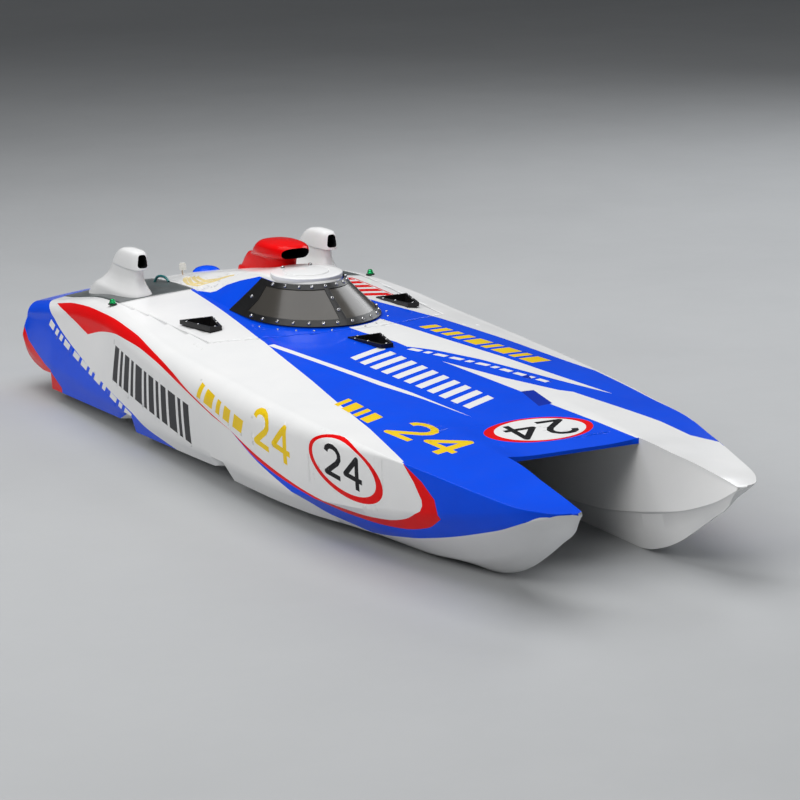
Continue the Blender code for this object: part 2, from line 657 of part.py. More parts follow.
# ---------------------------------------------------------------- roof disc and ram scoop
TILT = Vector((0, -0.035, 1.0)).normalized()
disc_profile = [(.0556, -0.008), (.0556, 0.0000), (.0540, 0.0012), (.0360, 0.0018),
                (.0352, 0.0028), (.0150, 0.0034)]
disc = turned("roof_disc", disc_profile, world(0, 1.040, .2572), TILT, segments=24)
cut(disc, shifted(canopy, GAP))
for sign in (1, -1):
    spot = world(sign * .0233, 1.076, .2592)
    head = turned("screw", [(.0032, 0), (.0032, .0026), (.0020, .0036)], spot, TILT, cutters,
                  segments=8)
    join(disc, head)
tidy(disc, GEL_WHITE, 2e-6)


def rounded_ring(half, front, back, z, power=2.6, count=16, tilt=0.0):
    """Superellipse in plan between stations front and back, half wide."""
    ring = []
    for i in range(count):
        turn = math.tau * i / count
        c = math.cos(turn)
        n = math.sin(turn)
        x = half * math.copysign(abs(n) ** (2 / power), n)
        y = math.copysign(abs(c) ** (2 / power), c)
        s = (front + back) / 2 - (back - front) / 2 * y
        ring.append((x, s, z + tilt * (s - front)))
    return ring


def stack(name, rings, x_offset=0.0, home=parts, mat=None):
    return loft(name, [[world(x + x_offset, s, z) for x, s, z in ring] for ring in rings], home,
                mat)


RAM_LEVELS = [(.0250, 1.098, 1.290, .205, 0), (.0245, 1.098, 1.282, .230, 0),
              (.0240, 1.099, 1.265, .252, -.08), (.0245, 1.0975, 1.235, .2680, -.04),
              (.0300, 1.072, 1.212, .2735, -.04), (.0330, 1.067, 1.198, .2805, -.03),
              (.0325, 1.070, 1.186, .2870, -.02), (.0260, 1.080, 1.168, .2925, 0),
              (.0110, 1.100, 1.140, .2950, 0)]
ram = stack("ram_scoop", [rounded_ring(w, a, b, z, 2.5, 16, t) for w, a, b, z, t in RAM_LEVELS])
cut(ram, shifted(canopy, GAP))
cut(ram, shifted(disc, GAP))
mouth_rings = []
for s, half, low, high in ((1.050, .0262, .2700, .2898), (1.080, .0240, .2715, .2886),
                           (1.110, .0200, .2730, .2870), (1.155, .0130, .2750, .2832)):
    ring = []
    for i in range(12):
        turn = math.tau * i / 12
        x = half * math.copysign(abs(math.sin(turn)) ** 0.7, math.sin(turn))
        z = (low + high) / 2 + (high - low) / 2 * math.copysign(abs(math.cos(turn)) ** 0.8,
                                                                 math.cos(turn))
        ring.append(world(x, s, z))
    mouth_rings.append(ring)
cut(ram, loft("ram_mouth", mouth_rings, cutters))
tidy(ram, PAINT_RED)

# ---------------------------------------------------------------- engine covers and scoops
cover = prism("engine_cover_port", cover_outline(0.0003), 0.125, 0.30, parts)
combine(cover, outer, "INTERSECT", keep=True)
cut(cover, shifted(outer, -SKIN))
intake = [(SPONSON_X - .012, 1.330), (SPONSON_X + .012, 1.330), (SPONSON_X + .010, 1.400),
          (SPONSON_X - .010, 1.400)]
cut(cover, prism("intake_hole", intake, 0.10, 0.30))
tidy(cover, DARK_PANEL)

SCOOP_LEVELS = [(.0265, 1.296, 1.528, .140), (.0265, 1.296, 1.514, .172),
                (.0258, 1.297, 1.485, .192), (.0205, 1.304, 1.459, .2030),
                (.0165, 1.311, 1.442, .2120), (.0145, 1.317, 1.428, .2220),
                (.0145, 1.318, 1.416, .2335), (.0158, 1.298, 1.413, .2365),
                (.0154, 1.299, 1.400, .2480), (.0140, 1.301, 1.384, .2585),
                (.0112, 1.307, 1.368, .2640), (.0045, 1.322, 1.350, .2665)]
scoop = stack("intake_scoop_port",
              [rounded_ring(w, a, b, z, 3.2, 16) for w, a, b, z in SCOOP_LEVELS], SPONSON_X)
cut(scoop, shifted(outer, GAP))
throat = []
for s, low_w, top_w, low, high in ((1.290, .0082, .0058, .2398, .2622),
                                   (1.318, .0078, .0054, .2405, .2600),
                                   (1.375, .0060, .0040, .2410, .2540)):
    throat.append([world(SPONSON_X - low_w, s, low), world(SPONSON_X + low_w, s, low),
                   world(SPONSON_X + top_w, s, high), world(SPONSON_X - top_w, s, high)])
cut(scoop, loft("scoop_throat", throat, cutters))
well = [[(SPONSON_X - .009, 1.334), (SPONSON_X + .009, 1.334), (SPONSON_X + .009, 1.396),
         (SPONSON_X - .009, 1.396)], [(SPONSON_X - .006, 1.338), (SPONSON_X + .006, 1.338),
                                      (SPONSON_X + .005, 1.370), (SPONSON_X - .005, 1.370)]]
cut(scoop, loft("scoop_well", [[world(x, s, .15) for x, s in well[0]],
                               [world(x, s, .246) for x, s in well[1]]], cutters))
tidy(scoop, GEL_WHITE)

dome_profile = [(.024, 0.0), (.024, .0125), (.0215, .0168), (.015, .0205), (.006, .0225)]
dome = turned("filler_dome", dome_profile, world(.028, 1.505, .169), (0, 0, 1), segments=20)
cut(dome, shifted(outer, 4 * GAP))
cut(dome, shifted(canopy, 4 * GAP))
tidy(dome, PAINT_BLUE)
cover_twin = mirrored(cover, "engine_cover_stbd")
scoop_twin = mirrored(scoop, "intake_scoop_stbd")


# ---------------------------------------------------------------- deck ducts
def duct(name, x, s):
    """Sunk air duct: a trapezoid flange over a tub that deepens aft."""
    high = [deck_z(x + dx, s + ds) for dx, ds in ((0, 0), (.027, .077), (-.027, .077), (0, .04))]
    flange_low = max(high) - 0.0045
    body = prism(name, duct_outline(x, s, 0.0), flange_low, max(high) + 0.0022, parts)
    cut(body, shifted(outer, GAP))
    tub = prism("tub", duct_outline(x, s, -0.0026), flange_low - 0.0125, max(high) + 0.0022)
    join(body, tub)
    a = duct_outline(x, s, -0.0040)
    top = max(high) + 0.004
    deep = flange_low - 0.0108
    rim = [world(px, ps, top) for px, ps in a]
    shallow = top - 0.0065
    floor = [world(a[0][0], a[0][1], shallow), world(a[1][0], a[1][1], shallow),
             world(a[2][0] - .002, a[2][1], deep), world(a[3][0] + .002, a[3][1], deep)]
    cut(body, loft("duct_room", [rim, floor], cutters))
    tidy(body, DUCT_BLACK)
    return body


duct("duct_port", *DUCTS["duct_port"])
duct("duct_stbd", -DUCTS["duct_port"][0], DUCTS["duct_port"][1])
duct("duct_centre", *DUCTS["duct_centre"])

# ---------------------------------------------------------------- hatch knobs
knob_deck = deck_z(*KNOB) + 0.0012
washer = turned("knob_washer_port", [(.0072, 0), (.0072, .0014)], world(*KNOB, knob_deck),
                (0, 0, 1), mat=WASHER_BLACK, segments=20)
cut(washer, rod("washer_hole", 0.0024, world(*KNOB, .17), world(*KNOB, .22), cutters,
                segments=12))
cut(washer, shifted(hull, GAP))
tidy(washer, WASHER_BLACK)
knob_profile = [(.0020, -.011), (.0020, .0018), (.0052, .0018), (.0052, .0040), (.0042, .0052),
                (.0042, .0072), (.0030, .0086)]
knob = turned("hatch_knob_port", knob_profile, world(*KNOB, knob_deck), (0, 0, 1), segments=18)
for i in range(6):
    turn = math.tau * i / 6
    spot = Vector((math.cos(turn) * .0062, math.sin(turn) * .0062, 0))
    base = world(*KNOB, knob_deck + .0010)
    groove = rod("groove", .0016, base + spot, base + spot + Vector((0, 0, .0040)), cutters,
                 segments=8)
    cut(knob, groove)
tidy(knob, GREEN_ALU)
place_origin(knob, world(*KNOB, knob_deck))
mirrored(washer, "knob_washer_stbd")
mirrored(knob, "hatch_knob_stbd")

# ---------------------------------------------------------------- lead and vent tube on the tail
lead = tube_path("sensor_lead", [world(-.034, 1.455, .178), world(-.034, 1.455, .188),
                                 world(-.035, 1.456, .194), world(-.0345, 1.457, .200)],
                 0.0014, mat=PLUG_WHITE)
join(lead, block("plug", (-.0395, -.0295), (1.4535, 1.4605), (.1990, .2105), cutters))
tidy(lead, PLUG_WHITE)
vent_low = deck_z(-.100, 1.46) + 0.0004
vent = tube_path("fuel_vent_tube", [world(-.0840, 1.398, vent_low + .0090),
                                    world(-.0845, 1.404, vent_low + .0125),
                                    world(-.0865, 1.418, vent_low + .0150),
                                    world(-.0900, 1.432, vent_low + .0120),
                                    world(-.0920, 1.441, vent_low + .0022),
                                    world(-.0920, 1.446, vent_low - .010)], 0.0022,
                 mat=TEAL_TUBE)
cut(vent, shifted(outer, GAP))
tidy(vent, TEAL_TUBE)

# ---------------------------------------------------------------- engines
mount = block("engine_mount_port", (.128, .206), (1.1725, 1.300), (.0168, .0480))
cut(mount, block("mount_slot", (.146, .188), (1.12, 1.32), (.0, .0435), cutters))
cut(mount, block("mount_rail", (.180, .210), (1.12, 1.32), (.0, .0310), cutters))
cut(mount, shifted(hull, GAP))
tidy(mount, CAST_ALU)
case = block("crankcase_port", (.134, .198), (1.172, 1.262), (.0483, .1120), bevel=0.008)
cut(case, rod("crank_bore", .0098, world(SPONSON_X, 1.14, CRANK_Z),
              world(SPONSON_X, 1.30, CRANK_Z), cutters, segments=20))
tidy(case, CAST_ALU)
fin_profile = [(.0200, 0.0)]
for i in range(4):
    base = .005 + i * .0120
    fin_profile += [(.0200, base), (.0260, base), (.0260, base + .0050), (.0200, base + .0050)]
fin_profile += [(.0200, .0530), (.0120, .0580), (.0065, .0580), (.0065, .0690), (.0030, .0690)]
cylinder = turned("cylinder_port", fin_profile, world(SPONSON_X, 1.217, .1123), (0, 0, 1),
                  segments=12)
tidy(cylinder, CAST_ALU)
fan = turned("fan_housing_port", [(.030, 0), (.041, .004), (.041, .030), (.034, .0345)],
             world(SPONSON_X, 1.1715, CRANK_Z + .006), (0, -1, 0), segments=20)
cut(fan, rod("fan_bore", .0100, world(SPONSON_X, 1.160, CRANK_Z),
             world(SPONSON_X, 1.20, CRANK_Z), cutters, segments=20))
for i in range(5):
    turn = math.tau * i / 5
    spot = world(SPONSON_X + .022 * math.cos(turn), 1.130, CRANK_Z + .006 + .022 * math.sin(turn))
    cut(fan, rod("fan_slot", .0062, spot, spot + Vector((0, .020, 0)), cutters, segments=6))
tidy(fan, FAN_BLACK)
carb = block("carburettor_port", (.108, .1337), (1.188, 1.222), (.080, .106), bevel=0.003)
cut(carb, rod("carb_throat", .0070, world(.100, 1.205, .090), world(.122, 1.205, .090), cutters))
tidy(carb, CAST_ALU)
LEVER = (.121, 1.205)
lever = turned("throttle_lever_port", [(.0035, 0), (.0035, .0050)], world(*LEVER, .1064),
               (0, 0, 1), segments=14)
join(lever, block("lever_arm", (.1185, .1235), (1.187, 1.205), (.1080, .1108), cutters))
tidy(lever, STEEL)
place_origin(lever, world(*LEVER, .1064))
crank = turned("crank_coupler_port",
               [(.0070, 0), (.0070, .104), (.0150, .104), (.0150, .118), (.0100, .118),
                (.0100, .130), (.0055, .130)], world(SPONSON_X, 1.184, CRANK_Z), (0, 1, 0),
               segments=14)
for sign in (1, -1):
    cut(crank, block("flat", (SPONSON_X + .0100 * sign - .0018, SPONSON_X + .0100 * sign + .0018),
                     (1.303, 1.316), (CRANK_Z - .02, CRANK_Z + .02), cutters))
tidy(crank, STEEL)
place_origin(crank, world(SPONSON_X, 1.25, CRANK_Z))
tube = tube_path("stuffing_tube_port", path_points(1, TUBE_PATH), 0.0040, mat=BRASS, resolution=2)
cut(tube, rod("tube_socket", .0022, world(SPONSON_X, 1.30, CRANK_Z),
              world(SPONSON_X, 1.326, CRANK_Z), cutters, segments=10))
tidy(tube, BRASS)

# ---------------------------------------------------------------- struts and propellers
strut = block("drive_strut_port", (SPONSON_X - .015, SPONSON_X + .015), (TRANSOM + .0020,
              TRANSOM + .0055), (.0200, .0800))
join(strut, rod("barrel", .0062, world(SPONSON_X, TRANSOM + .003, PROP_Z),
                world(SPONSON_X, 1.552, PROP_Z), cutters, segments=20))
fin = [(TRANSOM + .004, .078), (1.512, .074), (1.540, .040), (1.552, .036), (TRANSOM + .004, .036)]
web = loft("web", [[world(SPONSON_X + dx, s, z) for s, z in fin] for dx in (-.002, .002)],
           cutters)
join(strut, web)
skeg = [(1.500, .034), (1.548, .034), (1.546, .014), (1.520, .010)]
join(strut, loft("skeg", [[world(SPONSON_X + dx, s, z) for s, z in skeg]
                          for dx in (-.0013, .0013)], cutters))
cut(strut, rod("strut_bore", .0029, world(SPONSON_X, 1.48, PROP_Z),
               world(SPONSON_X, 1.58, PROP_Z), cutters, segments=20))
for sign in (1, -1):
    spot = world(SPONSON_X + .0105 * sign, TRANSOM + .0055, .072)
    join(strut, turned("bolt", [(.0028, -.001), (.0028, .0012), (.0014, .0024)], spot, (0, 1, 0),
                       cutters, segments=10))
tidy(strut, CAST_ALU)

prop = turned("propeller_port",
              [(.0025, 0), (.0025, .0640), (.0048, .0640), (.0060, .0680), (.0060, .0860),
               (.0046, .0862), (.0046, .0920), (.0018, .0970)], world(SPONSON_X, 1.4895, PROP_Z),
              (0, 1, 0), segments=14)


def blade(index, count):
    """Raked, cupped blade swept from hub to tip."""
    rings = []
    for step in range(5):
        part = step / 4
        r = .0045 + (.0275 - .0045) * part
        chord = .0085 + .0075 * math.sin(math.pi * min(part * 0.9 + .12, 1.0))
        chord = chord if step < 4 else .0060
        pitch = math.radians(62 - 36 * part)
        thick = .0013 - .0007 * part
        base = math.tau * index / count + 0.25 * part
        ring = []
        for u, w in ((-1, 0), (-.35, 1), (.35, 1), (1, 0), (.35, -1), (-.35, -1)):
            along = u * chord
            cup = .0016 * (u * u)
            spin = base + along * math.cos(pitch) / r * 0.75
            aft = along * math.sin(pitch) * 0.62 + cup + w * thick
            ring.append(Vector((SPONSON_X + r * math.cos(spin), aft + 1.5655 - HALF_LENGTH,
                                PROP_Z + r * math.sin(spin))))
        rings.append(ring)
    return loft("blade", rings, cutters)


for index in range(3):
    join(prop, blade(index, 3))
tidy(prop, STEEL)
place_origin(prop, world(SPONSON_X, 1.5655, PROP_Z))

tab = block("trim_tab_port", (.202, .2340), (TRANSOM + .0062, 1.534), (.0240, .0262))
join(tab, rod("tab_knuckle", .0032, world(.202, TRANSOM + .0062, .0262),
              world(.234, TRANSOM + .0062, .0262), cutters, segments=14))
tidy(tab, STEEL)
place_origin(tab, world(.218, TRANSOM + .0062, .0262))

# ---------------------------------------------------------------- exhaust and fuel
pipe_profile = [(.0075, 0), (.0075, .020), (.0210, .060), (.0210, .170), (.0075, .205),
                (.0075, .397)]
pipe = turned("exhaust_pipe_port", pipe_profile, world(.068, 1.238, .124), (0, 1, 0), segments=14)
header = [world(.068, 1.245, .124), world(.072, 1.226, .126), world(.092, 1.217, .132),
          world(.120, 1.217, .140), world(.1392, 1.217, .142)]
join(pipe, tube_path("header", header, .0068, cutters))
cut(pipe, rod("stinger_bore", .0055, world(.068, 1.56, .124), world(.068, 1.66, .124), cutters,
              segments=20))
cut(pipe, shifted(cylinder, 0.0))
tidy(pipe, STEEL)
tank = block("fuel_tank_port", (.128, .214), (.985, 1.105), (.0500, .1240), bevel=0.012)
join(tank, rod("tank_cap", .0110, world(.165, 1.045, .120), world(.165, 1.045, .1320), cutters))
join(tank, tube_path("tank_nipple", [world(.190, 1.075, .120), world(.190, 1.075, .131)], .0028,
                     cutters))
join(tank, block("tank_foot", (.132, .200), (1.00, 1.09), (.0190, .056), cutters))
cut(tank, shifted(hull, GAP))
tidy(tank, TANK)

# ---------------------------------------------------------------- radio gear on the tunnel roof
FLOOR_BOX = curve(ROOF_Z, .95) + 0.0045
box = block("radio_box", (-.058, .058), (.930, 1.075), (FLOOR_BOX - .003, .1500), bevel=0.004)
cut(box, block("box_room", (-.0555, .0555), (.9325, 1.0725), (FLOOR_BOX + .004, .170), cutters))
cut(box, shifted(hull, GAP))
tidy(box, BOX_PLASTIC)
lid = block("radio_lid", (-.060, .060), (.928, 1.077), (.1503, .1545), bevel=0.0015)
join(lid, block("lid_plug", (-.0550, .0550), (.9330, 1.0720), (.1470, .1520), cutters))
tidy(lid, BOX_PLASTIC)
battery = block("receiver_battery", (-.034, .034), (.950, 1.015), (FLOOR_BOX + .0044, .1280),
                bevel=0.004)
tidy(battery, BATTERY)
switch = block("power_switch", (-.0050, .0050), (1.0755, 1.0815), (.1290, .1350), bevel=0.0012)
tidy(switch, SWITCH_RED)
place_origin(switch, world(0, 1.0785, .132))


def servo(name, x, s, low, top):
    body = block(name, (x - .010, x + .010), (s - .012, s + .030), (low - .003, top), bevel=0.0012)
    ears = block("ears", (x - .010, x + .010), (s - .018, s + .036), (top - .012, top - .0095),
                 cutters)
    join(body, ears)
    foot = block("foot", (x - .012, x + .012), (s - .018, s + .036), (low - .003, low + .012),
                 cutters)
    join(body, foot)
    cut(body, shifted(hull, GAP))
    return tidy(body, SERVO_PLASTIC)


def servo_arm(name, x, s, z, toward):
    arm = turned(name, [(.0055, 0), (.0055, .0042)], world(x, s, z), (0, 0, 1), segments=16)
    ends = (x, x + ARM_R * toward)
    join(arm, block("arm", (min(ends), max(ends)), (s - .0025, s + .0025), (z + .0006, z + .0030),
                    cutters))
    join(arm, rod("tip", .0038, world(ends[1], s, z + .0006), world(ends[1], s, z + .0030), cutters,
                  segments=14))
    tidy(arm, SERVO_PLASTIC)
    return place_origin(arm, world(x, s, z))


SERVO_FLOOR = curve(ROOF_Z, SERVO_S) + 0.0045
ARM_Z = 0.1380
servo("steering_servo", 0.0, SERVO_S, SERVO_FLOOR, ARM_Z - .0004)
servo_arm("steering_arm", 0.0, SERVO_S, ARM_Z, 1)
THROTTLE_S = 1.140
servo("throttle_servo", -0.030, THROTTLE_S, curve(ROOF_Z, THROTTLE_S) + 0.0045, ARM_Z - .0004)
servo_arm("throttle_arm", -0.030, THROTTLE_S, ARM_Z, -1)

# ---------------------------------------------------------------- rudder
bracket = rod("rudder_bracket", .0160, world(0, RUDDER_S, .0862), world(0, RUDDER_S, .0893),
              segments=24)
join(bracket, rod("rudder_tube", .0043, world(0, RUDDER_S, .0700), world(0, RUDDER_S, .1180),
                  cutters, segments=20))
cut(bracket, rod("stock_bore", .0032, world(0, RUDDER_S, .06), world(0, RUDDER_S, .13), cutters,
                 segments=20))
tidy(bracket, CAST_ALU)
rudder = rod("rudder_blade", .0029, world(0, RUDDER_S, .0560), world(0, RUDDER_S, .1440),
             segments=20)
wedge = []
for z, front, back, half in ((.0060, -.006, .032, .0016), (.0300, -.014, .036, .0026),
                             (.0660, -.016, .036, .0036), (.0694, -.014, .034, .0036)):
    wedge.append([world(0, RUDDER_S + front, z), world(half, RUDDER_S + back - .004, z),
                  world(half, RUDDER_S + back, z), world(-half, RUDDER_S + back, z),
                  world(-half, RUDDER_S + back - .004, z)])
join(rudder, loft("wedge", wedge, cutters))
join(rudder, rod("tiller_hub", .0062, world(0, RUDDER_S, ARM_Z), world(0, RUDDER_S, ARM_Z + .0042),
                 cutters, segments=16))
join(rudder, block("tiller", (0, ARM_R), (RUDDER_S - .0025, RUDDER_S + .0025),
                   (ARM_Z + .0006, ARM_Z + .0030), cutters))
join(rudder, rod("tiller_end", .0038, world(ARM_R, RUDDER_S, ARM_Z + .0006),
                 world(ARM_R, RUDDER_S, ARM_Z + .0030), cutters, segments=14))
tidy(rudder, STEEL)
place_origin(rudder, world(0, RUDDER_S, ARM_Z))
push = rod("steering_pushrod", .0016, world(ARM_R, SERVO_S - .004, ARM_Z + .0062),
           world(ARM_R, RUDDER_S + .004, ARM_Z + .0062), segments=10)
for s in (SERVO_S, RUDDER_S):
    join(push, block("link", (ARM_R - .0034, ARM_R + .0034), (s - .0060, s + .0060),
                     (ARM_Z + .0036, ARM_Z + .0088), cutters))
tidy(push, STEEL)

# ---------------------------------------------------------------- starboard twins
for name in ("engine_mount", "crankcase", "cylinder", "fan_housing", "carburettor",
             "throttle_lever", "crank_coupler", "stuffing_tube", "drive_strut", "propeller",
             "trim_tab", "exhaust_pipe", "fuel_tank"):
    mirrored(bpy.data.objects[name + "_port"], name + "_stbd")

for leftover in list(cutters.objects):
    bpy.data.objects.remove(leftover, do_unlink=True)
total = 0
for obj in sorted(parts.objects, key=lambda o: o.name):
    obj.data.calc_loop_triangles()
    count = len(obj.data.loop_triangles)
    total += count
    print("node", obj.name, count)
print("nodes", len(parts.objects), "triangles", total)
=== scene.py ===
"""Looks of the twin-hull racing boat: painted hull, cowl, canopy, scoops and studio.

World metres, +Z up, bow towards -Y.  Stations s run aft from the sponson tips, y = s - HALF.
"""
import json
import math

import bmesh
import bpy
from mathutils import Matrix, Vector

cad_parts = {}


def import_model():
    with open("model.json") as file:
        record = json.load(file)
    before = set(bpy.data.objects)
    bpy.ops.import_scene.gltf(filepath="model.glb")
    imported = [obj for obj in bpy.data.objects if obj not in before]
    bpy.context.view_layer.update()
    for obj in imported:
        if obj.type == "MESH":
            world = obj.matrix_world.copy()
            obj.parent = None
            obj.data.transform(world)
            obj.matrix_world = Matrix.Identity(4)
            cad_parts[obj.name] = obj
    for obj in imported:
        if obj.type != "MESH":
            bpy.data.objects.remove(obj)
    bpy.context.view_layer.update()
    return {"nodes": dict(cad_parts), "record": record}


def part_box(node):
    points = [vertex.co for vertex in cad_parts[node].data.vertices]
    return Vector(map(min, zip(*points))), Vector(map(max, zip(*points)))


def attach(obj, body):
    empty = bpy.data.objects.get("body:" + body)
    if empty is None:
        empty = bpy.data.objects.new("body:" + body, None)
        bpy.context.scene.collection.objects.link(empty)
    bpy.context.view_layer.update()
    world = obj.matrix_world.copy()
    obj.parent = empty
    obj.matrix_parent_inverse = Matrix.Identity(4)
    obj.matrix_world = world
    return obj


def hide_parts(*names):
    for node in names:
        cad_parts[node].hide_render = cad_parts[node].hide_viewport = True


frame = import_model()

HALF = 0.82
LIP = 0.218
TRANSOM = 1.486
FORE_ROOF = 0.1465           # tunnel roof under the foredeck
SKIN = 0.0012                # painted skin over the hull's laminate
SEAM = 0.00018               # half the gap round each lid
LID_SKIN = 0.0025
CELL = 0.0085                # longest cell of a painted skin
PANEL_RIBS = 30              # cells across half a lid
PANEL_HALF = 0.222
LID_EDGE = 0.2135            # half width of the hatch
COVER_FRONT = 1.29           # station where the engine covers begin
COVER_BACK = 1.585
COWL_END = 1.574
SPONSON_X = 0.166            # middle of a sponson
DUCT_X = 0.1665
DUCT_S = 1.009
CANOPY_BASE = 0.2015
CENTRE_DUCT_S = 0.764


def added(name, data):
    """New object linked into the scene."""
    obj = bpy.data.objects.new(name, data)
    bpy.context.scene.collection.objects.link(obj)
    return obj


# ---------------------------------------------------------------- camera and materials
CAM_AT = Vector((-1.87512, -3.90054, 1.10215))
RIGHT = Vector((0.894383, -0.446678, -0.02363)).normalized()
FORWARD = Vector((0.430454, 0.873854, -0.226026)).normalized()
UP = RIGHT.cross(FORWARD).normalized()
cam_data = bpy.data.cameras.new("camera")
cam_data.lens = 135.0
cam_data.sensor_width = 36.0
cam_data.clip_start = 0.05
cam_data.clip_end = 60.0
camera = added("camera", cam_data)
camera.matrix_world = Matrix.Translation(CAM_AT) @ Matrix((RIGHT, UP, -FORWARD)).transposed().to_4x4()
bpy.context.scene.camera = camera


def noise(nodes, links, scale, detail, rough):
    """Noise over object coordinates, in metres."""
    place = nodes.new("ShaderNodeTexCoord")
    tex = nodes.new("ShaderNodeTexNoise")
    tex.inputs["Scale"].default_value = scale
    tex.inputs["Detail"].default_value = detail
    tex.inputs["Roughness"].default_value = rough
    links.new(place.outputs["Object"], tex.inputs["Vector"])
    return tex


def spread(nodes, links, source, low, high, start=0.3, stop=0.7):
    """Map a 0 to 1 value onto the range low to high."""
    ramp = nodes.new("ShaderNodeMapRange")
    ramp.inputs["From Min"].default_value = start
    ramp.inputs["From Max"].default_value = stop
    ramp.inputs["To Min"].default_value = low
    ramp.inputs["To Max"].default_value = high
    links.new(source, ramp.inputs["Value"])
    return ramp


def surface(name, colour, second, rough, metal=0.0, coat=0.0, grain=60.0, bump=0.0,
            bump_scale=300.0, rough_swing=0.06, dust=0.0, shine=0.5, index=1.45):
    """Material with slow colour drift, uneven roughness, a fine bump and settled dust."""
    mat = bpy.data.materials.new(name)
    mat.use_nodes = True
    nodes = mat.node_tree.nodes
    links = mat.node_tree.links
    shader = nodes["Principled BSDF"]
    drift = noise(nodes, links, grain, 5.0, 0.6)
    mix = nodes.new("ShaderNodeMix")
    mix.data_type = "RGBA"
    mix.inputs["A"].default_value = (*colour, 1)
    mix.inputs["B"].default_value = (*second, 1)
    part = spread(nodes, links, drift.outputs["Fac"], 0.0, 1.0)
    links.new(part.outputs["Result"], mix.inputs["Factor"])
    out = mix.outputs["Result"]
    if dust:
        geo = nodes.new("ShaderNodeNewGeometry")
        split = nodes.new("ShaderNodeSeparateXYZ")
        links.new(geo.outputs["Normal"], split.inputs["Vector"])
        up = spread(nodes, links, split.outputs["Z"], 0.0, dust, 0.2, 1.0)
        speck = noise(nodes, links, grain * 4, 6.0, 0.7)
        grains = spread(nodes, links, speck.outputs["Fac"], 0.0, 1.0, 0.45, 0.75)
        both = nodes.new("ShaderNodeMath")
        both.operation = "MULTIPLY"
        links.new(up.outputs["Result"], both.inputs[0])
        links.new(grains.outputs["Result"], both.inputs[1])
        film = nodes.new("ShaderNodeMix")
        film.data_type = "RGBA"
        film.inputs["B"].default_value = (0.62, 0.61, 0.58, 1)
        links.new(out, film.inputs["A"])
        links.new(both.outputs["Value"], film.inputs["Factor"])
        out = film.outputs["Result"]
    links.new(out, shader.inputs["Base Color"])
    wear = noise(nodes, links, grain * 0.5 + 7.0, 6.0, 0.7)
    gloss = spread(nodes, links, wear.outputs["Fac"], max(rough - rough_swing, 0.02),
                   rough + rough_swing)
    links.new(gloss.outputs["Result"], shader.inputs["Roughness"])
    shader.inputs["Metallic"].default_value = metal
    shader.inputs["Specular IOR Level"].default_value = shine
    shader.inputs["IOR"].default_value = index
    shader.inputs["Coat IOR"].default_value = index
    shader.inputs["Coat Weight"].default_value = coat
    shader.inputs["Coat Roughness"].default_value = 0.04
    if bump:
        fine = noise(nodes, links, bump_scale, 3.0, 0.5)
        relief = nodes.new("ShaderNodeBump")
        relief.inputs["Strength"].default_value = 0.35
        relief.inputs["Distance"].default_value = bump
        links.new(fine.outputs["Fac"], relief.inputs["Height"])
        links.new(relief.outputs["Normal"], shader.inputs["Normal"])
    return mat


def paint(name, colour, second):
    return surface(name, colour, second, 0.20, coat=0.30, grain=9.0, bump=0.00006,
                   bump_scale=260.0, rough_swing=0.05, dust=0.008, index=1.14)


WHITE = paint("gelcoat_white", (0.80, 0.80, 0.80), (0.76, 0.765, 0.77))
BLUE = paint("paint_blue", (0.0010, 0.076, 0.80), (0.0010, 0.064, 0.72))
# Painted shade: a darker blue for the shaded faces of small moulded recesses in the deck.
SHADE_BLUE = paint("painted_shade_blue", (0.004, 0.03, 0.40), (0.003, 0.025, 0.33))
RED = paint("paint_red", (0.80, 0.003, 0.004), (0.70, 0.003, 0.004))
GOLD = paint("paint_yellow", (0.86, 0.60, 0.015), (0.78, 0.52, 0.010))
PALE_GOLD = paint("paint_pale_yellow", (0.80, 0.66, 0.33), (0.74, 0.58, 0.26))
# Black for the printed numbers and bars, also used as painted shade on the walls inside the scoop throats.
INK_AND_SHADE = paint("print_black_and_painted_shade", (0.010, 0.010, 0.012), (0.016, 0.016, 0.018))
PANEL = surface("dark_panel", (0.085, 0.098, 0.10), (0.065, 0.075, 0.078), 0.38, coat=0.25,
                grain=25.0, bump=0.0001, bump_scale=500.0, dust=0.10)
LAMINATE = surface("laminate", (0.60, 0.61, 0.58), (0.48, 0.49, 0.46), 0.42, grain=140.0,
                   bump=0.0003, bump_scale=420.0, dust=0.05)
FRAME_BLACK = surface("frame_black", (0.006, 0.006, 0.007), (0.012, 0.012, 0.012), 0.34,
                      coat=0.08, grain=120.0, bump=0.00005, bump_scale=900.0, dust=0.01,
                      shine=0.22)
DUCT_BLACK = surface("duct_black", (0.008, 0.008, 0.009), (0.015, 0.014, 0.014), 0.24, coat=0.2,
                     grain=90.0, bump=0.00005, bump_scale=700.0, dust=0.02, shine=0.3)
SMOKE = surface("smoked_window", (0.060, 0.054, 0.046), (0.038, 0.035, 0.031), 0.22, coat=0.12,
                grain=6.0, rough_swing=0.04, dust=0.01, shine=0.35)
STEEL = surface("steel", (0.62, 0.62, 0.63), (0.50, 0.50, 0.51), 0.24, metal=1.0, grain=200.0,
                bump=0.00003, bump_scale=1500.0, rough_swing=0.08)
GREEN = surface("anodised_green", (0.02, 0.42, 0.13), (0.015, 0.34, 0.10), 0.28, metal=1.0,
                grain=300.0, bump=0.00002, bump_scale=2000.0)
RUBBER = surface("washer_rubber", (0.014, 0.014, 0.014), (0.024, 0.024, 0.023), 0.6, grain=300.0,
                 bump=0.0001, bump_scale=1200.0, dust=0.08)
TEAL = surface("teal_tube", (0.010, 0.17, 0.18), (0.008, 0.13, 0.14), 0.30, coat=0.4, grain=80.0,
               bump=0.00003, bump_scale=900.0)
PLUG = surface("plug_white", (0.80, 0.79, 0.75), (0.72, 0.71, 0.66), 0.42, grain=200.0,
               bump=0.00005, bump_scale=1200.0)
TAN_WIRE = surface("lead_tan", (0.50, 0.30, 0.14), (0.40, 0.24, 0.11), 0.5, grain=200.0,
                   bump=0.00005, bump_scale=1200.0)
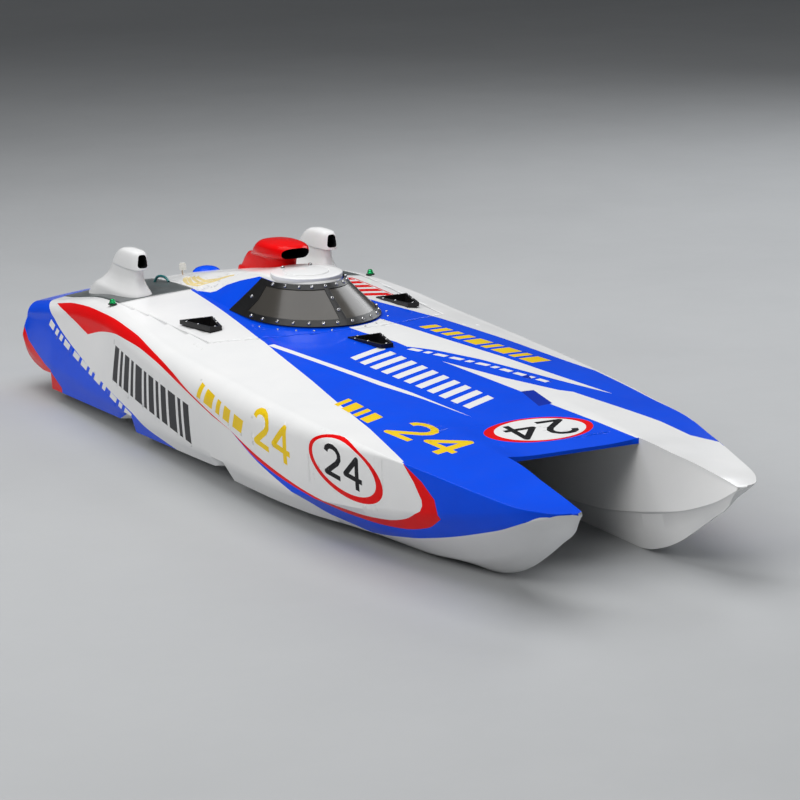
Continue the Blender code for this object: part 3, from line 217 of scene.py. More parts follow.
CAST = surface("cast_aluminium", (0.52, 0.53, 0.54), (0.40, 0.41, 0.42), 0.42, metal=1.0,
               grain=150.0, bump=0.0002, bump_scale=900.0, rough_swing=0.12)
FAN = surface("fan_black", (0.022, 0.022, 0.023), (0.034, 0.034, 0.034), 0.5, grain=150.0,
              bump=0.0001, bump_scale=900.0, dust=0.06)
BRASS = surface("brass", (0.72, 0.50, 0.20), (0.58, 0.38, 0.14), 0.28, metal=1.0, grain=120.0,
                bump=0.00003, bump_scale=1200.0, rough_swing=0.12)
PROP = surface("prop_bronze", (0.78, 0.60, 0.34), (0.66, 0.48, 0.25), 0.22, metal=1.0,
               grain=160.0, bump=0.00004, bump_scale=1200.0, rough_swing=0.1)
PIPE = surface("exhaust_pipe", (0.50, 0.48, 0.45), (0.33, 0.27, 0.22), 0.34, metal=1.0,
               grain=45.0, bump=0.00006, bump_scale=600.0, rough_swing=0.14)
TANK = surface("tank_plastic", (0.72, 0.70, 0.60), (0.62, 0.59, 0.48), 0.40, grain=30.0,
               bump=0.0001, bump_scale=500.0)
BOX = surface("box_plastic", (0.20, 0.21, 0.23), (0.15, 0.16, 0.175), 0.42, grain=120.0,
              bump=0.0001, bump_scale=1100.0, dust=0.05)
SERVO = surface("servo_plastic", (0.018, 0.018, 0.021), (0.030, 0.030, 0.032), 0.42, grain=150.0,
                bump=0.00008, bump_scale=1300.0)
WRAP = surface("battery_wrap", (0.015, 0.06, 0.26), (0.012, 0.045, 0.20), 0.35, coat=0.3,
               grain=70.0, bump=0.00008, bump_scale=500.0)
SWITCH = surface("switch_red", (0.52, 0.015, 0.012), (0.42, 0.012, 0.010), 0.36, grain=200.0,
                 bump=0.00005, bump_scale=1200.0)

SLOTS = {"gelcoat_white": WHITE, "paint_blue": BLUE, "paint_red": RED, "smoked_window": SMOKE,
         "frame_black": FRAME_BLACK, "dark_panel": PANEL, "duct_black": DUCT_BLACK,
         "anodised_green": GREEN, "washer_black": RUBBER, "teal_tube": TEAL,
         "plug_white": PLUG, "cast_aluminium": CAST, "fan_black": FAN, "steel": STEEL,
         "brass": BRASS, "tank_plastic": TANK, "box_plastic": BOX, "servo_plastic": SERVO,
         "battery_wrap": WRAP, "switch_red": SWITCH}
for part in frame["record"]["subparts"]:
    node = frame["nodes"][part["node"]]
    look = SLOTS[part["material_slot"]]
    if part["node"].startswith("propeller"):
        look = PROP
    if part["node"].startswith("exhaust"):
        look = PIPE
    node.data.materials.clear()
    node.data.materials.append(look)


# ---------------------------------------------------------------- hull lines
def curve(points, s):
    """Smooth value at s through (station, value) points, without overshoot."""
    xs = [p[0] for p in points]
    ys = [p[1] for p in points]
    s = min(max(s, xs[0]), xs[-1])
    i = 0
    while i < len(xs) - 2 and s > xs[i + 1]:
        i += 1

    def slope(k):
        return (ys[k + 1] - ys[k]) / (xs[k + 1] - xs[k])

    def tangent(k):
        if k == 0 or k == len(xs) - 1:
            return slope(min(k, len(xs) - 2))
        a = slope(k - 1)
        b = slope(k)
        if a * b <= 0:
            return 0.0
        h0 = xs[k] - xs[k - 1]
        h1 = xs[k + 1] - xs[k]
        wa = 2 * h1 + h0
        wb = h1 + 2 * h0
        return (wa + wb) / (wa / a + wb / b)

    h = xs[i + 1] - xs[i]
    t = (s - xs[i]) / h
    rise = (1 + 2 * t) * (1 - t) ** 2 * ys[i] + t * (1 - t) ** 2 * h * tangent(i)
    return rise + t * t * (3 - 2 * t) * ys[i + 1] + t * t * (t - 1) * h * tangent(i + 1)


def straight(points, s):
    """Value at s on straight lines through the points."""
    if s <= points[0][0]:
        return points[0][1]
    for (a, u), (b, v) in zip(points, points[1:]):
        if s <= b:
            return u + (v - u) * (s - a) / (b - a)
    return points[-1][1]


def world(x, s, z):
    return Vector((x, s - HALF, z))


SIDE_X = [(0, .118), (.006, .1405), (.02, .153), (.054, .171), (.125, .189), (.163, .1975),
          (.218, .208), (.288, .2225), (.4, .240), (.5, .254), (.6, .263), (.73, .270),
          (.88, .272), (1.01, .269), (1.15, .261), (1.28, .251), (1.47, .248), (1.64, .245)]
ROUND = [(0, .0006), (.054, .0015), (.29, .002), (.4, .012), (.6, .024), (.8, .030),
         (1.3, .030), (1.64, .022)]
EDGE_Z = [(0, .1337), (.054, .1345), (.125, .139), (.163, .142), (.3, .1515), (.5, .159),
          (.73, .167), (.964, .174), (1.28, .1895), (1.36, .186), (1.47, .169),
          (1.52, .160), (1.64, .138)]
CENTRE_Z = [(0, .1345), (.1, .1405), (.218, .1515), (.311, .1594), (.5, .172), (.8, .190),
            (.885, .1945), (1.0, .199), (1.15, .2015), (1.29, .2015), (1.36, .198),
            (1.5, .182), (1.64, .154)]
RAISE_Z = [(0, 0), (.05, .0045), (.105, .0065), (.174, .0065), (.218, .0045), (.3, .003),
           (.5, 0), (1.64, 0)]
KNUCKLE_X = [(0, .1175), (.006, .139), (.02, .1515), (.054, .1695), (.125, .187),
             (.218, .2055), (.4, .237), (.5, .250), (.6, .2585), (.73, .262), (.88, .263),
             (1.47, .264), (1.64, .255)]
KNUCKLE_Z = [(0, .1325), (.02, .131), (.054, .126), (.125, .112), (.218, .092), (.4, .066),
             (.55, .055), (.76, .050), (1.1, .046), (1.49, .058), (1.53, .056), (1.58, .058),
             (1.61, .064), (1.63, .072), (1.64, .082)]
CHINE_X = [(0, .1165), (.006, .137), (.02, .149), (.054, .165), (.1, .172), (.15, .1775),
           (.2, .183), (.25, .189), (.3, .196), (.44, .206), (.56, .229), (.66, .240),
           (.77, .2455), (.83, .2505), (1.126, .2565), (1.485, .262)]
CHINE_Z = [(0, .1315), (.006, .1315), (.02, .127), (.054, .1145), (.1, .096), (.15, .080),
           (.2, .065), (.25, .052), (.3, .041), (.44, .022), (.56, .020), (1.64, .020)]
STRAKE_X = [(0, .1155), (.006, .121), (.02, .127), (.054, .135), (.1, .137), (.13, .137),
            (.17, .141), (.228, .150), (.342, .165), (.43, .177), (.77, .180), (1.5, .185)]
STRAKE_Z = [(0, .1305), (.006, .128), (.02, .116), (.054, .0985), (.1, .069), (.13, .050),
            (.17, .035), (.228, .0207), (.342, .010), (.43, .011), (1.5, .011)]
KEEL_X = [(0, .1125), (.02, .1105), (.054, .109), (.1, .108), (1.5, .108)]
KEEL_Z = [(0, .1295), (.006, .1245), (.012, .1165), (.02, .1045), (.054, .081), (.1, .051),
          (.136, .030), (.177, .0125), (.21, .003), (.235, 0), (1.5, 0)]
INNER_X = [(0, .111), (.02, .1065), (.05, .1035), (.1, .101), (.174, .0995), (.3, .0985),
           (1.5, .098)]
INNER_Z = [(0, .131), (.01, .124), (.035, .109), (.0756, .092), (.117, .078), (.174, .064),
           (.233, .051), (.324, .0356), (.45, .027), (.77, .022), (1.5, .022)]
WALL_X = [(0, .1125), (.01, .1122), (.05, .110), (.105, .1065), (.16, .101), (.218, .0985),
          (1.64, .0985)]
ROOF_Z = [(0, FORE_ROOF), (.218, FORE_ROOF), (.30, .140), (.45, .124), (.65, .105), (.8, .096),
          (1.0, .092), (1.64, .090)]
SKIRT_Z = [(1.486, .046), (1.53, .043), (1.58, .046), (1.61, .052), (1.63, .061), (1.64, .072)]
KEEL_LIFT = [(.772, 0), (.7735, .009), (1.126, 0), (1.1275, .009), (1.485, 0)]
CHINE_LIFT = [(.772, 0), (.7735, .020), (.80, .020), (.83, .010), (1.126, 0), (1.1275, .022),
              (1.16, .022), (1.19, .009), (1.485, 0)]


def deck_z(x, s):
    """Height of the crowned deck."""
    side = curve(SIDE_X, s) - curve(ROUND, s)
    part = min(abs(x) / side, 1.0) ** 2
    centre = curve(CENTRE_Z, s)
    return centre - (centre - curve(EDGE_Z, s)) * part


def deck_top(x, s):
    """Deck height with the raised rim along the tunnel between the bows."""
    wall = curve(WALL_X, s)
    edge = curve(SIDE_X, s) - curve(ROUND, s)
    raised = curve(RAISE_Z, s)
    x = abs(x)
    if x <= wall:
        return deck_z(x, s) + raised * (x / wall) ** 4
    away = min((x - wall) / (edge - wall), 1.0)
    return deck_z(x, s) + raised * (1 - away) ** 1.5


def between(a, b, count, swell=(0.0, 0.0)):
    """Points from a towards b, b included, with an optional outward swell in the middle."""
    out = []
    for k in range(1, count + 1):
        t = k / count
        lift = 4 * t * (1 - t)
        out.append((a[0] + (b[0] - a[0]) * t + swell[0] * lift,
                    a[1] + (b[1] - a[1]) * t + swell[1] * lift))
    return out


def section(s):
    """Half section as named zones of (x, z) points; each zone starts where the last ended."""
    side = curve(SIDE_X, s)
    r = curve(ROUND, s)
    wall = curve(WALL_X, s)
    shoulder = deck_z(side - r, s)
    deck = []
    for k in range(19):
        x = wall + (side - r - wall) * k / 18
        deck.append((x, deck_top(x, s)))
    bend = [deck[-1]]
    for k in range(1, 11):
        turn = math.pi / 2 * k / 10
        bend.append((side - r + r * math.sin(turn), shoulder - 1.15 * r * (1 - math.cos(turn))))
    knuckle = (curve(KNUCKLE_X, s), curve(KNUCKLE_Z, s))
    flank = [bend[-1]] + between(bend[-1], knuckle, 12, (0.0012 * min(1, s * 4), 0))
    roof = curve(ROOF_Z, s)
    if s > TRANSOM:
        skirt = curve(SKIRT_Z, s)
        outer = knuckle[0] - 0.002
        marks = [(outer, skirt), (outer - 0.020, skirt + 0.001), (outer - 0.022, roof - 0.004),
                 (0.170, roof - 0.001), (0.140, roof - 0.0005), (0.110, roof - 0.0002),
                 (wall, roof)]
    else:
        rise = straight(KEEL_LIFT, s)
        chine = (curve(CHINE_X, s), curve(CHINE_Z, s) + straight(CHINE_LIFT, s))
        strake = (curve(STRAKE_X, s), curve(STRAKE_Z, s) + rise)
        keel = (curve(KEEL_X, s), curve(KEEL_Z, s) + rise)
        pad = (keel[0] + 0.25 * (strake[0] - keel[0]), keel[1] + 0.12 * (strake[1] - keel[1]))
        inner_x = curve(INNER_X, s)
        inner_z = curve(INNER_Z, s)
        step_in = min(0.003, 0.0004 + s * 0.05)
        step_down = min(0.0035, 0.0003 + s * 0.08)
        top = deck[0][1]
        corner = roof if s >= LIP - 1e-6 else min(top - 0.002 - 0.01 * min(s, LIP), FORE_ROOF)
        marks = [chine, strake, pad, keel, (inner_x + 0.0012, inner_z - step_down),
                 (inner_x + 0.0012 - step_in, inner_z), (wall, corner)]
    lower = [knuckle]
    for mark, count in zip(marks, (3, 8, 3, 2, 2, 2, 8)):
        lower += between(lower[-1], mark, count)
    return {"deck": deck, "bend": bend, "flank": flank, "low": lower[:4], "under": lower[3:]}


# ---------------------------------------------------------------- livery regions
def band(colour, low, high):
    """Region between two lines w(s), each a list of (s, w) points or a number."""
    spans = [line for line in (low, high) if isinstance(line, list)]
    start = max(line[0][0] for line in spans)
    stop = min(line[-1][0] for line in spans)
    return ("band", colour, start, stop, low, high)


def patch(colour, corners):
    """Convex region given by its (s, w) corners."""
    turn = 0.0
    for i in range(len(corners)):
        a = corners[i]
        b = corners[(i + 1) % len(corners)]
        turn += a[0] * b[1] - b[0] * a[1]
    if turn < 0:
        corners = corners[::-1]
    ss = [c[0] for c in corners]
    return ("patch", colour, min(ss), max(ss), corners, None)


def oval(colour, s0, w0, a, b, slope=0.0, count=40):
    """Ellipse of half axes a along s and b across, sheared by slope."""
    corners = []
    for k in range(count):
        turn = math.tau * k / count
        ds = a * math.cos(turn)
        corners.append((s0 + ds, w0 + b * math.sin(turn) + slope * ds))
    return patch(colour, corners)


def strokes(colour, paths, width, place):
    """Thick lines along paths of local (u, v) points; place maps (u, v) to (s, w)."""
    out = []
    for path in paths:
        for a, b in zip(path, path[1:]):
            run = math.hypot(b[0] - a[0], b[1] - a[1])
            nx = -(b[1] - a[1]) / run * width / 2
            ny = (b[0] - a[0]) / run * width / 2
            out.append(patch(colour, [place(a[0] + nx, a[1] + ny), place(b[0] + nx, b[1] + ny),
                                      place(b[0] - nx, b[1] - ny), place(a[0] - nx, a[1] - ny)]))
        for u, v in path[1:-1]:
            dot = [place(u + width / 2 * math.cos(math.tau * k / 10),
                         v + width / 2 * math.sin(math.tau * k / 10)) for k in range(10)]
            out.append(patch(colour, dot))
    return out


TWO = [[(-0.30, 0.26), (-0.27, 0.38), (-0.16, 0.47), (0.0, 0.50), (0.17, 0.46), (0.28, 0.34),
        (0.29, 0.18), (0.20, 0.02), (-0.30, -0.46), (0.33, -0.46)]]
FOUR = [[(0.16, -0.54), (0.16, 0.52), (-0.36, -0.18), (0.38, -0.18)]]


def number(colour, place, width=0.16):
    """The race number, two figures each about one unit high."""
    out = strokes(colour, TWO, width, lambda u, v: place(u - 0.46, v))
    return out + strokes(colour, FOUR, width, lambda u, v: place(u + 0.46, v))


def bars(colour, start, stop, low, high, widths, gap, lean):
    """Row of slanted bars between stations, standing between two lines w(s)."""
    total = sum(widths) + gap * (len(widths) - 1)
    unit = (stop - start) / total
    out = []
    at = start
    for w in widths:
        a = at
        b = at + w * unit
        out.append(patch(colour, [(a, straight(low, a)), (b, straight(low, b)),
                                  (b + lean, straight(high, b + lean)),
                                  (a + lean, straight(high, a + lean))]))
        at = b + gap * unit
    return out


def full(line):
    """Points of a line with smooth in-between points."""
    out = []
    for (a, _), (b, _) in zip(line, line[1:]):
        for k in range(4):
            s = a + (b - a) * k / 4
            out.append((s, curve(line, s)))
    return out + [line[-1]]


STERN_LINE = full([(.9709, .0259), (1.0145, .031), (1.0714, .0383), (1.1137, .0505),
                   (1.1506, .0573), (1.2277, .0708), (1.312, .0883), (1.4017, .1091),
                   (1.4819, .129), (1.5265, .1426), (1.5653, .154)])
SWOOSH_TOP = full([(.7256, .1068), (.7881, .1184), (.8607, .1346), (.9324, .1512),
                   (1.036, .1659), (1.1309, .1757), (1.2332, .1793), (1.333, .1779),
                   (1.4247, .1703), (1.51, .1561)])
SWOOSH_LOW = [(.7256, .1067)] + full([(.7881, .1160), (.93, .1443), (1.0192, .156),
                                      (1.1029, .1618), (1.1765, .1622), (1.2671, .1526),
                                      (1.3307, .1372)]) + [(1.3811, .1449), (1.4453, .1532),
                                                           (1.51, .1560)]
BOW_BLUE = full([(0.0, .120), (.0091, .127), (.0218, .1275), (.0541, .1142), (.0985, .0963),
                 (.1495, .0779), (.1988, .0616), (.252, .0472), (.3291, .0298), (.395, .0241),
                 (.4863, .0330), (.5196, .0465), (.5805, .0617), (.6459, .0774),
                 (.7256, .1066)])
RED_LOW = full([(.2099, .0879), (.2501, .0668), (.3183, .0519), (.3752, .048), (.4295, .0493),
                (.4758, .0567), (.5371, .0637), (.6452, .0804), (.7256, .10675)])
RED_HIGH = [(.2099, .0880), (.2141, .1134), (.2384, .1325), (.2758, .1501), (.2760, .30),
            (.7256, .30)]
FIELD_LOW = [(.2409, .100)] + full([(.2471, .0913), (.2879, .072), (.3345, .061),
                                    (.3926, .0564), (.4449, .0584), (.5032, .0634),
                                    (.5698, .0733), (.6438, .0865), (.7256, .1069)])
FIELD_HIGH = [(.2409, .108), (.2548, .1293), (.2758, .1501), (.2760, .30), (.7256, .30)]


def side_regions(way):
    """Paint on the flank in (s, z); way is 1 where figures read towards the bow, else -1."""
    out = [band(BLUE, [(s, -1.0) for s, _ in STERN_LINE], STERN_LINE),
           band(BLUE, [(1.5653, -1.0), (1.66, -1.0)], [(1.5653, 1.0), (1.66, 1.0)]),
           band(RED, [(1.44, -1.0), (1.66, -1.0)],
                [(1.44, .030), (1.49, .0510), (1.53, .0600), (1.5678, .0672), (1.6128, .0785),
                 (1.64, .0960), (1.66, .110)]),
           band(RED, SWOOSH_LOW, SWOOSH_TOP),
           band(BLUE, BOW_BLUE, [(0.0, 1.0), (.7256, 1.0)]),
           band(RED, RED_LOW, RED_HIGH),
           band(WHITE, FIELD_LOW, FIELD_HIGH)]
    ring_s = .4080
    out.append(oval(RED, ring_s, .1160, .0860, .0385, 0.13))
    out.append(oval(WHITE, ring_s + .0030, .1180, .0740, .0330, 0.13))
    spot = (ring_s + .004, .1180)
    out += number(INK_AND_SHADE, lambda u, v: (spot[0] - way * u * .052,
                                     spot[1] + v * .040 - way * u * .0068), 0.17)
    out += bars(INK_AND_SHADE, 1.205, .885, [(.86, .0500), (1.22, .0900)], [(.86, .1130), (1.22, .1470)],
                [2.2, 1.2, 2.2, 1.2, 3.0, 1.2, 2.2, 1.2, 2.2, 3.0, 1.2, 2.2], 0.9, -.010)
    out += bars(GOLD, .840, .690, [(.68, .108), (.85, .136)], [(.68, .130), (.85, .160)],
                [1.0, 2.2, 1.0, 1.6, 2.2], 0.9, -.010)
    out += number(GOLD, lambda u, v: (.598 - way * u * .062, .124 + v * .048 - way * u * .009),
                  0.17)
    out += bars(WHITE, 1.520, 1.130, [(1.12, .0395), (1.53, .1220)],
                [(1.12, .0490), (1.53, .1330)],
                [2, 1, 1, 2, 0.01, 2, 2, 1, 2, 1, 0.01, 2, 1, 2], 0.8, -.006)
    return out


STBD_EDGE = [(.2799, -.2162), (.4301, -.1915), (.5439, -.1785), (.6828, -.1606),
             (.8438, -.1427), (.9005, -.1350), (.9325, -.1324), (1.0188, -.122),
             (1.1596, -.1059), (1.2821, -.0924), (1.2900, -.0900)]
PORT_EDGE = [(.545, .2435), (.6322, .2266), (.7843, .206), (.928, .1738), (1.0518, .1298),
             (1.1596, .1059), (1.2821, .0924), (1.2900, .0900)]
SPEAR_OUT = [(.4355, .1860), (.4908, .175), (.546, .1631), (.6623, .1398), (.7735, .1103),
             (.8744, .0859), (.9271, .0731), (1.0, .0500)]
SPEAR_IN = [(.4355, .1859), (.5218, .1494), (.6092, .1168), (.6622, .0958), (.7291, .058),
            (.7600, .0300), (.79, .0275), (.825, .018), (.860, .008), (.893, .003),
            (.92, .003), (1.0, .003)]
LANE_OUT = [(.1722, .2050), (.2166, .1765), (.2843, .1714), (.4571, .1356), (.4714, .1209),
            (.5559, .0791), (.6647, .0393)]
LANE_IN = [(.1722, .0959), (.218, .0959), (.3124, .0858), (.4069, .0731), (.4892, .0655),
           (.5754, .0525), (.6647, .0392)]
PIN_OUT = [(.4008, -.0543), (.5065, -.0725), (.5968, -.0943), (.7527, -.1190), (.880, -.1385)]
PIN_IN = [(.4008, -.0542), (.5417, -.0719), (.6146, -.0855), (.7527, -.1090), (.880, -.1290)]


def deck_regions():
    """Paint on the deck in (s, x)."""
    stern = [(1.5653, -1.0), (1.66, -1.0)]
    out = [band(BLUE, [(0.0, -1.0), (.2799, -1.0)], [(0.0, 1.0), (.2799, 1.0)]),
           band(BLUE, STBD_EDGE, [(.2799, 0.0), (1.29, 0.0)]),
           band(BLUE, [(.2799, 0.0), (.545, 0.0)], [(.2799, 1.0), (.545, 1.0)]),
           band(BLUE, [(.545, 0.0), (1.29, 0.0)], PORT_EDGE),
           band(BLUE, stern, [(1.5653, 1.0), (1.66, 1.0)]),
           band(WHITE, [(0.0, .05), (.1722, .05)], [(0.0, 1.0), (.1722, 1.0)]),
           band(WHITE, SPEAR_IN, SPEAR_OUT),
           band(WHITE, LANE_IN, LANE_OUT),
           band(WHITE, PIN_OUT, PIN_IN)]
    out.append(oval(RED, .3115, 0.0, .0500, .0785, 0.0, 56))
    out.append(oval(WHITE, .3115, .0022, .0450, .0655, 0.0, 56))
    out += number(INK_AND_SHADE, lambda u, v: (.3115 - v * .056, .002 - u * .058), 0.16)
    out += bars(WHITE, .745, .435, [(.40, -.0350), (.70, -.0680), (.80, -.0700)],
                [(.40, .0200), (.70, .0000), (.80, -.0080)],
                [1.4, 1.4, 1.4, 1.4, 1.4, 1.4, 1.4, 1.4, 1.4, 1.4, 1.4], 1.1, .030)
    out += bars(WHITE, .745, .515, [(.50, .1290), (.62, .0870), (.76, .0150)],
                [(.50, .1400), (.62, .1000), (.76, .0280)],
                [2, 1, 2, 2, 1, 2, 1, 2, 2, 1, 2], 0.8, .004)
    out += bars(GOLD, .870, .625, [(.59, .1720), (.88, .1030)], [(.59, .2150), (.88, .1400)],
                [1.4, 1.4, 1.4, 1.4, 2.6, 1.2, 2.6, 1.2, 2.6], 0.9, .012)
    out += bars(GOLD, .560, .455, [(.44, -.1830), (.58, -.1830)], [(.44, -.1540), (.58, -.1560)],
                [1.0, 2.0, 1.0, 2.0], 0.9, .010)
    out += number(GOLD, lambda u, v: (.345 - u * .085 + v * .010, -.1450 + v * .054 + u * .010),
                  0.17)
    out += bars(RED, 1.262, 1.105, [(1.09, .1330), (1.28, .1130)],
                [(1.09, .1800), (1.28, .1800)], [1.5, 1.5, 1.5, 1.5, 1.5], 1.0, .004)
    out.append(patch(RED, [(1.100, .1820), (1.270, .1820), (1.270, .1850), (1.100, .1850)]))
    # Painted shade: darker blue quads where two small moulded recesses in the deck face away from the light;
    # the recesses themselves are not modelled.
    out.append(patch(SHADE_BLUE, [(.4809, .0666), (.4819, .087), (.4109, .0770),
                                 (.4063, .0530)]))
    out.append(patch(SHADE_BLUE, [(.5500, .1050), (.5600, .1200), (.5350, .1150)]))
    return out


SIDE_PAINT = side_regions(1)
PORT_PAINT = side_regions(-1)
DECK_PAINT = deck_regions()


# ---------------------------------------------------------------- painted skins
def split(piece, a, b, c):
    """Cut a convex piece by a*s + b*w = c into its parts above and below."""
    values = [a * p[0] + b * p[1] - c for p in piece]
    if min(values) >= -1e-9:
        return piece, None
    if max(values) <= 1e-9:
        return None, piece
    above = []
    below = []
    count = len(piece)
    for i in range(count):
        p = piece[i]
        q = piece[(i + 1) % count]
        fp = values[i]
        fq = values[(i + 1) % count]
        if fp >= 0:
            above.append(p)
        if fp <= 0:
            below.append(p)
        if fp * fq < 0:
            t = fp / (fp - fq)
            cross = tuple(u + (v - u) * t for u, v in zip(p, q))
            above.append(cross)
            below.append(cross)
    return above, below


def line_at(line, s):
    return straight(line, s) if isinstance(line, list) else line


def edge_cuts(corners):
    """Lines of a convex outline, each with its inside positive."""
    cuts = []
    for i in range(len(corners)):
        (ax, ay), (bx, by) = corners[i], corners[(i + 1) % len(corners)]
        a = -(by - ay)
        b = bx - ax
        size = math.hypot(a, b)
        cuts.append((a / size, b / size, (a * ax + b * ay) / size))
    return cuts


def trimmed(piece, shape):
    """The parts of a cell inside any of the convex outlines of a panel."""
    kept = []
    for outline in shape:
        inside = piece
        for cut_line in edge_cuts(outline[4]):
            inside, _ = split(inside, *cut_line)
            if inside is None:
                break
        if inside is not None:
            kept.append(inside)
    return kept


def coloured(piece, base, regions, sa, sb, shape=None):
    """Split one cell into pieces of one colour each, later regions over earlier ones."""
    starts = [piece] if shape is None else trimmed(piece, shape)
    if not starts:
        return []
    pieces = [(start, base) for start in starts]
    low_w = min(p[1] for p in piece)
    high_w = max(p[1] for p in piece)
    for kind, colour, start, stop, one, two in regions:
        if stop <= sa + 1e-9 or start >= sb - 1e-9:
            continue
        if kind == "band":
            la, lb = line_at(one, sa), line_at(one, sb)
            ha, hb = line_at(two, sa), line_at(two, sb)
            if max(ha, hb) < low_w or min(la, lb) > high_w:
                continue
            m = (lb - la) / (sb - sa)
            n = (hb - ha) / (sb - sa)
            cuts = [(-m, 1.0, la - m * sa), (n, -1.0, n * sa - ha)]
        else:
            ws = [c[1] for c in one]
            if max(ws) < low_w or min(ws) > high_w:
                continue
            cuts = edge_cuts(one)
        after = []
        for bit, shade in pieces:
            inside = bit
            for cut_line in cuts:
                if inside is None:
                    break
                inside, outside = split(inside, *cut_line)
                if outside is not None:
                    after.append((outside, shade))
            if inside is not None:
                after.append((inside, colour))
        pieces = after
    return pieces


class Skin:
    """Collects coloured faces and welds equal points."""

    def __init__(self):
        self.points = []
        self.index = {}
        self.faces = []
        self.looks = []
        self.used = []

    def vertex(self, p):
        key = (round(p[0] * 5e4), round(p[1] * 5e4), round(p[2] * 5e4))
        if key not in self.index:
            self.index[key] = len(self.points)
            self.points.append(p)
        return self.index[key]

    def face(self, corners, look):
        if look is None:
            return
        ids = []
        for p in corners:
            k = self.vertex(p)
            if k not in ids:
                ids.append(k)
        if len(ids) > 2:
            if look not in self.used:
                self.used.append(look)
            self.faces.append(ids)
            self.looks.append(self.used.index(look))

    def cell(self, corners, base, regions, sa, sb, shape=None):
        """corners: (s, w, x, y, z)."""
        for bit, look in coloured(corners, base, regions, sa, sb, shape):
            self.face([p[2:] for p in bit], look)

    def build(self, name, thickness, sharp=32):
        mesh = bpy.data.meshes.new(name)
        mesh.from_pydata(self.points, [], self.faces)
        for look in self.used:
            mesh.materials.append(look)
        mesh.polygons.foreach_set("material_index", self.looks)
        bm = bmesh.new()
        bm.from_mesh(mesh)
        bmesh.ops.dissolve_degenerate(bm, dist=0.00004, edges=bm.edges)
        bmesh.ops.recalc_face_normals(bm, faces=bm.faces)
        bm.to_mesh(mesh)
        bm.free()
        mesh.shade_smooth()
        mesh.set_sharp_from_angle(angle=math.radians(sharp))
        obj = added(name, mesh)
        if thickness:
            wall = obj.modifiers.new("thickness", "SOLIDIFY")
            wall.thickness = thickness
            wall.offset = -1
        return obj


def fine_stations(regions, start, stop, pitch, extra=()):
    marks = {round(start, 5), round(stop, 5)}
    for s in extra:
        marks.add(round(s, 5))
    for kind, _, a, b, one, two in regions:
        marks.update((round(a, 5), round(b, 5)))
        if kind == "band":
            for line in (one, two):
                if isinstance(line, list):
                    marks.update(round(p[0], 5) for p in line)
    marks = sorted(m for m in marks if start <= m <= stop)
    out = [marks[0]]
    for m in marks[1:]:
        if m - out[-1] < 0.0003:
            continue
        count = max(1, math.ceil((m - out[-1]) / pitch))
        first = out[-1]
        for k in range(1, count + 1):
            out.append(first + (m - first) * k / count)
    out[-1] = stop
    return out


ZONES = ("deck", "bend", "flank", "low", "under")
STEP_STATIONS = [0.772, 0.7735, 0.80, 0.83, 1.126, 1.1275, 1.16, 1.19, 1.485, 1.4865, LIP]
HATCH = [(.885, 0), (.890, .05), (.907, .10), (.934, .15), (.966, .195), (1.29, .2135),
         (1.50, .2135), (1.585, .200), (1.585, 0)]


def grown(half, g):
    """Closed convex (s, x) outline from its port half, moved outwards by g."""
    out = []
    for s, x in half + [(s, -x) for s, x in half[::-1] if x > 0]:
        ds = -g if s < 1.0 else (g if s > 1.58 else 0)
        out.append((s + ds, x + math.copysign(g, x) if abs(x) > 1e-6 else 0.0))
    return out


PORT_TIP = [patch(WHITE, [(-.01, -.02), (.050, -.02), (.165, .13), (.165, .30), (-.01, .30)])]


